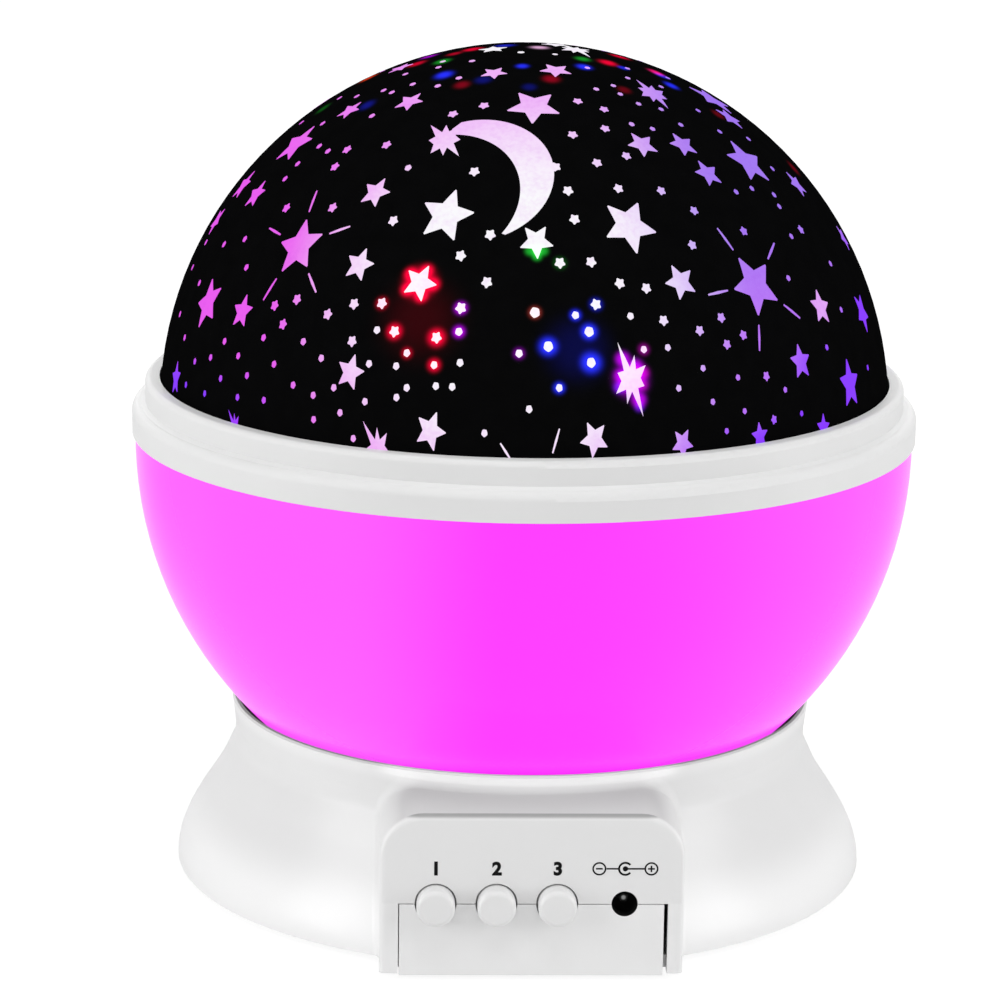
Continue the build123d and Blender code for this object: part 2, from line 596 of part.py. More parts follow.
def gear_blank(teeth, tooth_at):
    """Toothed outline with involute flanks; one tooth is centred on the given angle."""
    pitch = GEAR_MODULE * teeth / 2
    root = pitch - DEDENDUM * GEAR_MODULE
    tip = pitch + GEAR_MODULE
    radii = (root, max(pitch - GEAR_MODULE / 2, root), pitch, tip)
    points = []
    for number in range(teeth):
        middle = math.radians(tooth_at) + 2 * math.pi * number / teeth
        flank = [(r, tooth_half_angle(r, teeth)) for r in radii]
        rising = [(r, middle - half) for r, half in flank]
        falling = [(r, middle + half) for r, half in reversed(flank)]
        points += [(r * math.cos(a), r * math.sin(a)) for r, a in rising + falling]
    return make_face(Polyline(*points, close=True))


def turning_gear():
    """Large gear under the bowl, driven by the motor's pinion."""
    gear = Pos(0, 0, GEAR_TOP_Z - GEAR_T) * extrude(gear_blank(GEAR_TEETH, PINION_ANGLE), GEAR_T)
    gear -= disc(GEAR_INNER_R, GEAR_TOP_Z - GEAR_T - MARGIN, GEAR_TOP_Z + MARGIN)
    return gear - [disc(SMALL_SCREW_R + PILOT_GAP, GEAR_TOP_Z - GEAR_T, GEAR_TOP_Z, x, y)
                   for x, y in ring_places(SMALL_SCREWS, GEAR_SCREW_R, GEAR_SCREW_AT)]


def pinion():
    """Motor pinion, turned so that one of its gaps faces the large gear's tooth."""
    gap_at = PINION_ANGLE + 180
    tooth_at = gap_at + 180 / PINION_TEETH
    low = GEAR_TOP_Z - GEAR_T
    teeth = extrude(gear_blank(PINION_TEETH, tooth_at), PINION_TOP_Z - low)
    return Pos(MOTOR_X, MOTOR_Y, low) * teeth - disc(
        MOTOR_SHAFT_R, low, PINION_TOP_Z, MOTOR_X, MOTOR_Y)


def lamp_post():
    """Hollow column: flange under the deck, bearing for the bowl, clip groove and neck."""
    groove_r = POST_R - CLIP_GROOVE
    return turned([
        (POST_BORE_R, DECK_Z - POST_FLANGE_T), (POST_FLANGE_R, DECK_Z - POST_FLANGE_T),
        (POST_FLANGE_R, DECK_Z), (POST_R, DECK_Z), (POST_R, CLIP_Z), (groove_r, CLIP_Z),
        (groove_r, CLIP_Z + CLIP_T), (POST_R, CLIP_Z + CLIP_T), (POST_R, CLIP_Z + 2 * CLIP_T),
        (POST_NECK_R, CLIP_Z + 2 * CLIP_T + POST_R - POST_NECK_R), (POST_NECK_R, POST_TOP_Z),
        (POST_BORE_R, POST_TOP_Z),
    ]) - [disc(SMALL_SCREW_R + PILOT_GAP, DECK_Z - POST_FLANGE_T, DECK_Z, x, y)
          for x, y in ring_places(SMALL_SCREWS, POST_SCREW_R, POST_SCREW_AT)]


def post_clip():
    """Spring clip in the post's groove that keeps the bowl from lifting off."""
    inner = POST_R - CLIP_GROOVE
    ring = disc(inner + CLIP_W, CLIP_Z, CLIP_Z + CLIP_T) - disc(inner, CLIP_Z, CLIP_Z + CLIP_T)
    half = math.radians(CLIP_OPENING / 2)
    reach = 2 * POST_R
    side = reach * math.tan(half)
    wedge = make_face(Polyline((0, 0), (reach, -side), (reach, side), close=True))
    return ring - Pos(0, 0, CLIP_Z) * extrude(wedge, CLIP_T)


def lamp_holder():
    """White dish on the post's neck that carries the lamp board."""
    sleeve_in = POST_NECK_R + PILOT_GAP
    rim_z = HOLDER_TOP_Z + HOLDER_RIM_H
    dish = turned([
        (sleeve_in, POST_TOP_Z - HOLDER_SLEEVE_L), (sleeve_in + HOLDER_WALL, POST_TOP_Z - HOLDER_SLEEVE_L),
        (sleeve_in + HOLDER_WALL, POST_TOP_Z), (HOLDER_R, POST_TOP_Z), (HOLDER_R, rim_z),
        (HOLDER_R - HOLDER_WALL, rim_z), (HOLDER_R - HOLDER_WALL, HOLDER_TOP_Z),
        (POST_BORE_R, HOLDER_TOP_Z), (POST_BORE_R, POST_TOP_Z), (sleeve_in, POST_TOP_Z),
    ])
    places = ring_places(SMALL_SCREWS, LAMP_SCREW_R, LAMP_SCREW_AT)
    dish += [disc(2 * SMALL_SCREW_R, HOLDER_TOP_Z, LAMP_BOARD_Z, x, y) for x, y in places]
    return dish - [disc(SMALL_SCREW_R + PILOT_GAP, HOLDER_TOP_Z, LAMP_BOARD_Z, x, y)
                   for x, y in places]


def lamp_board():
    """Round circuit board under the four lamps."""
    board = disc(LAMP_BOARD_R, LAMP_BOARD_Z, LED_Z)
    holes = [disc(SMALL_SCREW_R + PILOT_GAP, LAMP_BOARD_Z, LED_Z, x, y)
             for x, y in ring_places(SMALL_SCREWS, LAMP_SCREW_R, LAMP_SCREW_AT)]
    return board - holes - disc(WIRE_HOLE_R, LAMP_BOARD_Z, LED_Z)


def led(number):
    """One lamp: flange, clear body and a bevelled tip."""
    x, y = ring_places(4, LED_CIRCLE_R, LED_AT)[number]
    body = disc(LED_R, LED_Z, LED_Z + LED_H, x, y)
    body = chamfer(body.edges().group_by(Axis.Z)[-1], LED_TIP)
    return body + disc(LED_FLANGE_R, LED_Z, LED_Z + LED_FLANGE_T, x, y)


def sphere_point(radius, centre_z, z):
    """Point of a ball's outline at a height, as (radius, height)."""
    return (math.sqrt(radius ** 2 - (z - centre_z) ** 2), z)


def ball_arc(radius, centre_z, low, high):
    """Arc of a ball's outline between two heights, in the (radius, height) plane."""
    a = math.asin((low - centre_z) / radius)
    b = math.asin((high - centre_z) / radius)
    middle = (a + b) / 2
    return ThreePointArc(
        sphere_point(radius, centre_z, low),
        (radius * math.cos(middle), centre_z + radius * math.sin(middle)),
        sphere_point(radius, centre_z, high),
    )


def dome_arc(radius):
    """Arc of the dome's outline from its edge on the ledge to the top of the axis."""
    edge = math.asin((RING_LEDGE_Z - DOME_CENTRE_Z) / radius)
    middle = (edge + math.pi / 2) / 2
    return ThreePointArc(
        sphere_point(radius, DOME_CENTRE_Z, RING_LEDGE_Z),
        (radius * math.cos(middle), DOME_CENTRE_Z + radius * math.sin(middle)),
        (0, DOME_CENTRE_Z + radius),
    )


def bowl():
    """Coloured bowl with a flat floor and a hub sleeve that turns on the lamp post."""
    floor_top = BOWL_FLOOR_Z + BOWL_WALL
    outer = ball_arc(BOWL_R, BOWL_CENTRE_Z, BOWL_FLOOR_Z, RING_BOTTOM_Z)
    inner = ball_arc(BOWL_IN_R, BOWL_CENTRE_Z, floor_top, RING_BOTTOM_Z)
    outline = [
        Polyline(inner @ 0, (SLEEVE_OUT_R, floor_top), (SLEEVE_OUT_R, SLEEVE_TOP_Z),
                 (SLEEVE_R, SLEEVE_TOP_Z), (SLEEVE_R, DECK_TOP_Z), (SLEEVE_OUT_R, DECK_TOP_Z),
                 (SLEEVE_OUT_R, BOWL_FLOOR_Z), outer @ 0),
        outer,
        Line(outer @ 1, inner @ 1),
        inner,
    ]
    body = revolve(Plane.XZ * make_face(outline), Axis.Z)
    return body - [disc(SMALL_SCREW_R + PILOT_GAP, BOWL_FLOOR_Z, floor_top, x, y)
                   for x, y in ring_places(SMALL_SCREWS, GEAR_SCREW_R, GEAR_SCREW_AT)]


def star_dome():
    """Half-ball shell that carries the star pattern."""
    outer = dome_arc(DOME_R)
    inner = dome_arc(DOME_R - DOME_WALL)
    outline = [outer, Line(outer @ 1, inner @ 1), inner, Line(inner @ 0, outer @ 0)]
    return revolve(Plane.XZ * make_face(outline), Axis.Z)


def dome_ring():
    """White ring: lower band on the bowl, stepped lip round the dome, spigot inside the bowl."""
    spigot_r = sphere_point(BOWL_IN_R, BOWL_CENTRE_Z, RING_BOTTOM_Z - SPIGOT_DEEP)[0] - SLIP
    spigot_in = spigot_r - SPIGOT_WALL
    spigot_z = RING_BOTTOM_Z - SPIGOT_DEEP
    lip_in = DOME_R + SLIP
    outline = make_face([
        Polyline((RING_LIP_R - RING_LIP_ROUND, RING_TOP_Z), (lip_in - SLIP, RING_TOP_Z),
                 (lip_in, RING_LEDGE_Z), (RING_LEDGE_R, RING_LEDGE_Z),
                 (RING_LEDGE_R, RING_LEDGE_Z - RING_LEDGE_T),
                 (spigot_in, RING_LEDGE_Z - RING_LEDGE_T), (spigot_in, spigot_z),
                 (spigot_r, spigot_z), (spigot_r, RING_BOTTOM_Z), (RING_R, RING_BOTTOM_Z),
                 (RING_R, RING_STEP_Z - RING_ROUND)),
        RadiusArc((RING_R, RING_STEP_Z - RING_ROUND), (RING_R - RING_ROUND, RING_STEP_Z),
                  -RING_ROUND),
        Polyline((RING_R - RING_ROUND, RING_STEP_Z), (RING_LIP_R, RING_STEP_Z + RING_SLOPE),
                 (RING_LIP_R, RING_TOP_Z - RING_LIP_ROUND)),
        RadiusArc((RING_LIP_R, RING_TOP_Z - RING_LIP_ROUND),
                  (RING_LIP_R - RING_LIP_ROUND, RING_TOP_Z), -RING_LIP_ROUND),
    ])
    return revolve(Plane.XZ * outline, Axis.Z)


def button(x):
    """Round cap with a captive flange behind the panel and a stem to its switch."""
    front = HOOD_FACE_Y - BUTTON_PROUD
    flange_y = HOOD_IN_Y + SEAM
    cap = rod(BUTTON_R, front, flange_y, x, PANEL_Z)
    cap = fillet(cap.edges().group_by(Axis.Y)[0], BUTTON_EDGE)
    flange = rod(BUTTON_R + BUTTON_FLANGE, flange_y, flange_y + BUTTON_FLANGE_T, x, PANEL_Z)
    return cap + flange + rod(STEM_R, flange_y, PLUNGER_Y, x, PANEL_Z)


def plunger(x):
    """Small plunger of a push switch, which the stem presses in."""
    return rod(PLUNGER_R, PLUNGER_Y, SWITCH_Y + PLUNGER_IN, x, PANEL_Z)


def push_switch(x):
    """Square push switch on the control board, open at the front for its plunger."""
    half = SWITCH_W / 2
    body = block((x - half, x + half), (SWITCH_Y, BOARD_FRONT_Y), (PANEL_Z - half, PANEL_Z + half))
    return body - rod(PLUNGER_R + RUN_FIT, SWITCH_Y - MARGIN, SWITCH_Y + PLUNGER_IN + BUTTON_TRAVEL + SEAM,
                      x, PANEL_Z)


def control_board():
    """Upright circuit board behind the panel."""
    return block((-BOARD_HALF_X, BOARD_HALF_X), (BOARD_FRONT_Y, BOARD_FRONT_Y + BOARD_T), BOARD_Z)


def dc_socket():
    """Power socket housing: a bore for a round plug and a wider contact chamber behind it."""
    front = HOOD_IN_Y + SEAM
    x = (SOCKET_X - SOCKET_W / 2, SOCKET_X + SOCKET_W / 2)
    z = (PANEL_Z - SOCKET_H / 2, PANEL_Z + SOCKET_H / 2)
    body = block(x, (front, BOARD_FRONT_Y), z)
    body -= rod(SOCKET_MOUTH_R, front - MARGIN, front + SOCKET_MOUTH_L, SOCKET_X, PANEL_Z)
    return body - rod(SOCKET_CHAMBER_R, front + SOCKET_MOUTH_L, BOARD_FRONT_Y - SOCKET_FLOOR_T,
                      SOCKET_X, PANEL_Z)


def dc_pin():
    """Centre pin of the power socket."""
    tip = HOOD_IN_Y + SEAM + SOCKET_MOUTH_L + SLIP
    return rod(SOCKET_PIN_R, tip, BOARD_FRONT_Y - SOCKET_FLOOR_T, SOCKET_X, PANEL_Z)


def build_all():
    """Every piece of the lamp, by node name."""
    pieces = {
        "base_shell": base_shell(),
        "base_bottom": base_bottom(),
        "rubber_feet": rubber_feet(),
        "base_screws": base_screws(),
        "battery_cells": battery_cells(),
        "battery_end_plates": end_plates(),
        "battery_leaf_contacts": leaf_contacts(),
        "battery_door": battery_door(),
        "door_screw": door_screw(),
        "motor": motor(),
        "motor_screws": motor_screws(),
        "motor_shaft": motor_shaft(),
        "motor_pinion": pinion(),
        "turning_gear": turning_gear(),
        "gear_screws": gear_screws(),
        "lamp_post": lamp_post(),
        "post_screws": post_screws(),
        "post_clip": post_clip(),
        "lamp_holder": lamp_holder(),
        "lamp_board": lamp_board(),
        "lamp_screws": lamp_screws(),
        "bowl": bowl(),
        "star_dome": star_dome(),
        "dome_ring": dome_ring(),
        "control_board": control_board(),
        "dc_socket": dc_socket(),
        "dc_pin": dc_pin(),
    }
    for number, colour in enumerate(("red", "green", "blue", "white")):
        pieces["led_" + colour] = led(number)
    for letter, x in zip("abc", BUTTON_X):
        pieces["button_" + letter] = button(x)
        pieces["plunger_" + letter] = plunger(x)
        pieces["switch_" + letter] = push_switch(x)
    return pieces


def solids_in(piece):
    """The piece's solids as one shape: a list of solids becomes one compound."""
    if isinstance(piece, (list, tuple)):
        return Compound(children=[solid for part in piece for solid in part.solids()])
    solids = piece.solids()
    return solids[0] if len(solids) == 1 else Compound(children=solids)


os.makedirs("parts", exist_ok=True)
for name, piece in build_all().items():
    export_step(solids_in(piece), f"parts/{name}.step")
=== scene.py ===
# %% [markdown]
# # The finishes of a star night light
# The lamp stands on a flared white base with a control panel. A glowing bowl turns on it, and a
# black half-ball with clear star windows sits in a stepped ring on top. The solid pieces come from
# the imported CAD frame; this notebook gives each of them its finish and adds the printed window
# pattern and marks. Loading the frame first fixes every place and size, so nothing below has to be
# fitted by eye.

# %% Load the lamp's solid pieces
import json
import math

import bmesh
import bpy
from mathutils import Matrix, Vector


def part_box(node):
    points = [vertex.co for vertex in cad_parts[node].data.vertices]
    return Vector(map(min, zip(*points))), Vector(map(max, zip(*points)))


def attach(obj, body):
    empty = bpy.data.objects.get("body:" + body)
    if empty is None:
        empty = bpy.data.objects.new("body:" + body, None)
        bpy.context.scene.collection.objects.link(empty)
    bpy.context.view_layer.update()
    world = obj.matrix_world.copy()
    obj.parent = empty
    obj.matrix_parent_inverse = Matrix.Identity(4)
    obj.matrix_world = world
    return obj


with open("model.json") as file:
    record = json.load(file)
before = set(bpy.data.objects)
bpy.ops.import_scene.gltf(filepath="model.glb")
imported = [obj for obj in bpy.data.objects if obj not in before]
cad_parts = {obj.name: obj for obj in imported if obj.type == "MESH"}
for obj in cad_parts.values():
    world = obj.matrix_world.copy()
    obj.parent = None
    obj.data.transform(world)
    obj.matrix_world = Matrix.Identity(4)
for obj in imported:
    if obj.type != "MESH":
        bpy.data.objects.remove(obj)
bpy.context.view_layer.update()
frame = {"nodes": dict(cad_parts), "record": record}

nodes = frame["nodes"]
MM = 0.001

# %% [markdown]
# ## Sizes read from the frame
# The dome is part of a ball. Its edge radius and its rise give the ball's radius by the chord
# formula, so the window pattern can follow the shell exactly. The same could be typed by hand, but
# then it would drift as soon as the solid changes.

# %% Measure the dome, the bowl and the panel
dome_low, dome_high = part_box("star_dome")
dome_rise = dome_high.z - dome_low.z
DOME_R = (dome_high.x ** 2 + dome_rise ** 2) / (2 * dome_rise)
DOME_CENTRE = Vector((0, 0, dome_high.z - DOME_R))
DOME_WALL = 1.8 * MM
bowl_low, bowl_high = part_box("bowl")
BOWL_R = bowl_high.x
PANEL_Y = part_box("base_shell")[0].y
print("dome ball radius", round(DOME_R / MM, 2), "bowl radius", round(BOWL_R / MM, 2))


# %% [markdown]
# ## Arithmetic on sockets
# A finish is a sum of simple fields: a soft step here, a little grain there. Written with nodes
# alone it becomes long, so a small class wraps one socket and turns + - * / and ** into Math nodes.
# Colours go through Mix nodes instead, because a Math node would turn them grey.

# %% A socket that can be used in an expression
class Field:
    """One number or colour that changes over a surface; arithmetic on it adds nodes."""

    def __init__(self, finish, socket):
        self.finish = finish
        self.socket = socket

    def math(self, operation, *values):
        inputs = dict(enumerate(values))
        return self.finish.node("ShaderNodeMath", {"operation": operation}, inputs)

    def __add__(self, other):
        return self.math("ADD", self, other)

    __radd__ = __add__

    def __sub__(self, other):
        return self.math("SUBTRACT", self, other)

    def __rsub__(self, other):
        return self.math("SUBTRACT", other, self)

    def __mul__(self, other):
        return self.math("MULTIPLY", self, other)

    __rmul__ = __mul__

    def __truediv__(self, other):
        return self.math("DIVIDE", self, other)

    def __rtruediv__(self, other):
        return self.math("DIVIDE", other, self)

    def __pow__(self, power):
        return self.math("POWER", self, power)

    def __neg__(self):
        return self.math("MULTIPLY", self, -1.0)

    def exp(self):
        """e to the power of this value."""
        return self.math("EXPONENT", self)

    def size(self):
        """The value without its sign."""
        return self.math("ABSOLUTE", self)

    def at_most(self, other):
        return self.math("MINIMUM", self, other)

    def step(self, low, high):
        """Soft step: 0 below low, 1 above high, a smooth climb between them."""
        settings = {"interpolation_type": "SMOOTHSTEP"}
        inputs = {"Value": self, "From Min": low, "From Max": high}
        return self.finish.node("ShaderNodeMapRange", settings, inputs)

    def mix(self, colour_a, colour_b, blend="MIX"):
        """Colour a where this value is 0 and colour b, or their blend, where it is 1."""
        settings = {"data_type": "RGBA", "blend_type": blend}
        inputs = {0: self, 6: rgba(colour_a), 7: rgba(colour_b)}
        return self.finish.node("ShaderNodeMix", settings, inputs, 2)


def rgba(colour):
    """A plain colour gets its fourth number; a field stays as it is."""
    return colour if isinstance(colour, Field) else (*colour[:3], 1.0)


print("a plain colour becomes", rgba((0.5, 0.5, 0.5)))

# %% [markdown]
# ## One material, one way to add nodes
# Every finish of the lamp is one Principled shader with a few fields fed into it. Its nodes could
# be placed by hand in the editor, but code keeps one order each time: settings first, because they
# can change a node's sockets, and then the sockets. Places are read in the lamp's own frame, so a
# mark on a piece stays where it is when the piece moves.

# %% A finish and its nodes
class Finish:
    """A procedural material for the lamp, made around one Principled shader."""

    def __init__(self, name):
        self.material = bpy.data.materials.new(name)
        self.material.use_nodes = True
        self.tree = self.material.node_tree
        self.skin = self.tree.nodes["Principled BSDF"]
        self.place = self.node("ShaderNodeTexCoord", output="Object")

    def node(self, kind, settings=None, inputs=None, output=0):
        """Adds a node: first its settings, then the values or links of its sockets."""
        made = self.tree.nodes.new(kind)
        for name, value in (settings or {}).items():
            setattr(made, name, value)
        for name, value in (inputs or {}).items():
            self.feed(made.inputs[name], value)
        return Field(self, made.outputs[output])

    def feed(self, socket, value):
        """Links a field to a socket, or sets a plain value on it."""
        if isinstance(value, Field):
            self.tree.links.new(value.socket, socket)
        else:
            socket.default_value = value

    def set(self, **sockets):
        """Feeds the Principled shader: Base_Color=..., Roughness=..., and so on."""
        for name, value in sockets.items():
            self.feed(self.skin.inputs[name.replace("_", " ")], value)
        return self

    def axis(self, number):
        """Distance along X, Y or Z (0, 1, 2), in metres, in the lamp's own frame."""
        return self.node("ShaderNodeSeparateXYZ", {}, {0: self.place}, number)

    def noise(self, size, detail=3.0, rough=0.5):
        """Cloudy noise from 0 to 1 whose blotches are about size metres across."""
        inputs = {"Vector": self.place, "Scale": 1.0 / size, "Detail": detail, "Roughness": rough}
        return self.node("ShaderNodeTexNoise", {}, inputs)

    def away_from(self, point):
        """Distance from a point, in metres."""
        return self.node("ShaderNodeVectorMath", {"operation": "DISTANCE"},
                         {0: self.place, 1: tuple(point)}, "Value")

    def bump(self, height, depth, strength=1.0):
        """Fine relief: height from 0 to 1 stands for depth metres."""
        inputs = {"Height": height, "Distance": depth, "Strength": strength}
        return self.node("ShaderNodeBump", {}, inputs, "Normal")


def toned(colour, share):
    """A colour made darker (share below 1) or lighter (above 1)."""
    return tuple(min(channel * share, 1.0) for channel in colour[:3])


def wear(finish, *names):
    """Puts a finish on CAD pieces."""
    for name in names:
        slots = nodes[name].data.materials
        slots.clear()
        slots.append(finish.material)
    return finish


print("helpers ready")

# %% [markdown]
# ## Camera
# The lamp is seen from a little above the rim of its dome, through a long lens, so that the ring
# shows as a flat ellipse. A short lens close by would frame it too, but would swell its near side.
# The turn is small: the panel faces almost straight at the camera, which is held a little less than
# a degree askew.

# %% Place the camera
CAMERA_BACK = 606.3 * MM
CAMERA_HEIGHT = 212.5 * MM
CAMERA_TURN = math.radians(2.23)
CAMERA_PITCH = math.radians(14.14)
CAMERA_ROLL = math.radians(0.85)
CAMERA_LENS = 139.7     # in mm, in front of a sensor 36 mm wide
CAMERA_SHIFT = -0.0228  # share of the width by which the lamp sits beside the middle
camera = bpy.data.objects.new("camera", bpy.data.cameras.new("camera"))
camera.data.sensor_width = 36.0
camera.data.lens = CAMERA_LENS
camera.data.shift_x = CAMERA_SHIFT
camera.data.clip_start = 0.01
camera.location = (-CAMERA_BACK * math.sin(CAMERA_TURN), -CAMERA_BACK * math.cos(CAMERA_TURN),
                   CAMERA_HEIGHT)
looking = Matrix.Rotation(-CAMERA_TURN, 3, "Z") @ Matrix.Rotation(math.pi / 2 - CAMERA_PITCH, 3, "X")
camera.rotation_euler = (looking @ Matrix.Rotation(CAMERA_ROLL, 3, "Z")).to_euler()
bpy.context.scene.collection.objects.link(camera)
bpy.context.scene.camera = camera
bpy.context.scene.view_settings.view_transform = "Standard"
print("camera at", [round(v, 3) for v in camera.location])

# %% [markdown]
# ## Studio light
# White plastic on a white ground needs broad, even light. Two tall soft boxes light the sides, one
# overhead fills the top faces, a weak one fills the front, one lights the back, and the sky does
# the rest. One hard lamp would be simpler but would burn out the white mouldings. The sky gives
# little light, yet is plain white to the camera, in gloss and through glass.

# %% Soft boxes and sky
SKY_LIGHT = 0.34


def soft_box(name, place, aim, width, height, power):
    """A large area lamp at a place, turned towards a point."""
    lamp = bpy.data.lights.new(name, "AREA")
    lamp.shape = "RECTANGLE"
    lamp.size = width
    lamp.size_y = height
    lamp.energy = power
    holder = bpy.data.objects.new(name, lamp)
    holder.location = place
    holder.rotation_euler = (Vector(aim) - Vector(place)).to_track_quat("-Z", "Y").to_euler()
    bpy.context.scene.collection.objects.link(holder)
    return holder


soft_box("left_box", (-1.0, -0.4, 0.40), (0, 0, 0.05), 0.5, 0.8, 5.6)
soft_box("right_box", (1.0, -0.4, 0.40), (0, 0, 0.05), 0.5, 0.8, 5.2)
soft_box("front_box", (0.0, -1.1, 0.50), (0, 0, 0.05), 0.9, 0.5, 0.8)
soft_box("top_box", (0.0, -0.25, 1.1), (0, 0, 0.05), 0.9, 0.7, 4.6)
soft_box("back_box", (0.0, 1.1, 0.45), (0, 0, 0.05), 1.2, 0.6, 4.0)
sky = bpy.data.worlds.new("sky")
sky.use_nodes = True
bpy.context.scene.world = sky
sky_tree = sky.node_tree
sky_glow = sky_tree.nodes["Background"]
sky_glow.inputs["Color"].default_value = (1, 1, 1, 1)
ray = sky_tree.nodes.new("ShaderNodeLightPath")
strength = sky_tree.nodes.new("ShaderNodeMapRange")
strength.inputs["To Min"].default_value = SKY_LIGHT
strength.inputs["To Max"].default_value = 1.0
seen = ray.outputs["Is Camera Ray"]
for kind in ("Is Glossy Ray", "Is Transmission Ray"):
    either = sky_tree.nodes.new("ShaderNodeMath")
    either.operation = "MAXIMUM"
    sky_tree.links.new(seen, either.inputs[0])
    sky_tree.links.new(ray.outputs[kind], either.inputs[1])
    seen = either.outputs[0]
sky_tree.links.new(seen, strength.inputs["Value"])
sky_tree.links.new(strength.outputs["Result"], sky_glow.inputs["Strength"])

# %% [markdown]
# ## Floor
# A plain pale sheet. To the camera it is mostly white by itself, and the rest of it is lit, so that
# the lamp still drops a soft shadow there. A glowing floor alone would make the lamp float.

# %% Lay the floor
FLOOR_HALF = 4.0
FLOOR_DROP = 0.2 * MM   # just under the feet, so that the two don't share a plane
FLOOR_WHITE = 0.8       # share of the floor that is white by itself to the camera
FLOOR_GLOW = 1.14


def piece(name, mesh):
    """Puts a mesh into the scene under a name."""
    made = bpy.data.objects.new(name, mesh)
    bpy.context.scene.collection.objects.link(made)
    return made


floor_mesh = bpy.data.meshes.new("floor")
corners = [(-FLOOR_HALF, -FLOOR_HALF, 0), (FLOOR_HALF, -FLOOR_HALF, 0),
           (FLOOR_HALF, FLOOR_HALF, 0), (-FLOOR_HALF, FLOOR_HALF, 0)]
floor_mesh.from_pydata(corners, [], [(0, 1, 2, 3)])
floor = piece("floor", floor_mesh)
floor.location.z = -FLOOR_DROP
paper = Finish("paper")
paper.set(Base_Color=paper.noise(0.4).mix((0.86, 0.86, 0.86), (0.88, 0.88, 0.88)), Roughness=0.9)
paper_ray = paper.node("ShaderNodeLightPath", output="Is Camera Ray")
paper_glow = paper.node("ShaderNodeEmission", {}, {"Color": (1, 1, 1, 1), "Strength": FLOOR_GLOW})
paper_sum = paper.node("ShaderNodeMixShader", {}, {0: paper_ray * FLOOR_WHITE})
paper_mix = paper_sum.socket.node
paper.tree.links.new(paper.skin.outputs[0], paper_mix.inputs[1])
paper.tree.links.new(paper_glow.socket, paper_mix.inputs[2])
paper.tree.links.new(paper_sum.socket, paper.tree.nodes["Material Output"].inputs["Surface"])
floor_mesh.materials.append(paper.material)
print("floor laid, metres across:", 2 * FLOOR_HALF)

# %% [markdown]
# ## White mouldings
# The base, the bottom cover, the ring, the door and the buttons are glossy white ABS. A polished
# mould leaves a smooth skin with a faint waviness and a little uneven gloss. A paint shader with a
# coat would do too, but moulded plastic has its gloss in the skin itself, so one layer is enough.

# %% Moulded plastic
def moulded(name, colour, gloss, ripple=0.004 * MM, tone=0.985, shade=None):
    """Plastic from a polished mould: nearly even colour, slightly uneven gloss, faint waviness."""
    made = Finish(name)
    cloud = made.noise(18 * MM, 2.0)
    grain = made.noise(0.35 * MM, 2.0)
    skin = cloud.step(0.3, 0.7).mix(toned(colour, tone), colour)
    made.set(Base_Color=shade(made, skin) if shade else skin,
             Roughness=gloss + 0.05 * cloud + 0.02 * grain,
             Normal=made.bump(grain * 0.2 + cloud, ripple))
    return made


WHITE = (0.81, 0.81, 0.81)
# painted shade: the ring gets a greyer copy of the base's white, to tone down the light it catches
RING_PAINTED_SHADE_WHITE = (0.73, 0.73, 0.73)
wear(moulded("ring_plastic", RING_PAINTED_SHADE_WHITE, 0.45).set(Specular_IOR_Level=0.2), "dome_ring")
# painted shade: the buttons get a greyer copy of the base's white, to tone down the front light on them
wear(moulded("button_plastic", (0.75, 0.75, 0.75), 0.28), "button_a", "button_b", "button_c")
wear(moulded("lamp_plastic", (0.86, 0.86, 0.84), 0.4), "lamp_holder", "lamp_post")
wear(moulded("gear_nylon", (0.82, 0.82, 0.76), 0.45), "turning_gear", "motor_pinion")
black = moulded("black_plastic", (0.012, 0.012, 0.013), 0.3)
wear(black, "dc_socket", "switch_a", "switch_b", "switch_c")
wear(black, "plunger_a", "plunger_b", "plunger_c")
print("plastics:", [m.name for m in bpy.data.materials if "plastic" in m.name])

# %% [markdown]
# ## Painted light and shade on the base
# The base carries painted shade and light that a plain white moulding lacks. The wall of the plug's
# bore is painted black as shade where the inlet lies behind it. A grey line of painted shade runs along
# the hood's front edge and dulls its highlight. The panel is painted a shade greyer, and the thin foot
# of the skirt is painted paler as light from the table. Each could be a material on faces of its own,
# but the solid has no edges there, so each is a soft mask made from the place on the base.

# %% Painted shade and light on the base
# painted shade: the bore's wall is painted black this far behind the panel's face
BORE_BACK = 8 * MM      # how far behind the panel's face the bore's wall is black
# painted shade: the panel's face is made greyer than the rest of the white
PANEL_PAINTED_SHADE = 0.94
# painted light: the thin foot of the skirt is made paler, as light from the table
SKIRT_FOOT_PAINTED_LIGHT = 1.10
# grey of the painted shade along the hood's upper front edge
HOOD_EDGE_PAINTED_GREY = (0.36, 0.36, 0.36)


def behind_panel(made, near, far):
    """0 up to near metres behind the panel's face, 1 beyond far metres."""
    return (made.axis(1) - PANEL_Y).step(near, far)


def dark_bore(made, skin):
    """The skin's colour, painted black as shade on the wall of the plug's bore."""
    bore = next(m for m in frame["record"]["mounts"] if m["name"] == "dc_socket_mouth")
    radius = bore["dims"]["r_mm"] * MM
    reach = ((made.axis(0) - bore["pos_m"][0]) ** 2.0 + (made.axis(2) - bore["pos_m"][2]) ** 2.0) ** 0.5
    behind = behind_panel(made, BORE_BACK, BORE_BACK + 1 * MM)
    outside = (reach.step(radius + 0.005 * MM, radius + 0.03 * MM) + behind).at_most(1.0)
    return outside.mix((0.01, 0.01, 0.01), skin)


def parting_line(made, skin):
    """Painted shade: a grey line along the hood's upper front edge that dulls the edge's highlight."""
    face_top = max(v.co.z for v in nodes["base_shell"].data.vertices if v.co.y < PANEL_Y + 0.01 * MM)
    near_front = 1.0 - behind_panel(made, 0.7 * MM, 1.1 * MM)
    line = (made.axis(2) - face_top).step(0.1 * MM, 0.6 * MM) * near_front
    return line.mix(skin, HOOD_EDGE_PAINTED_GREY)


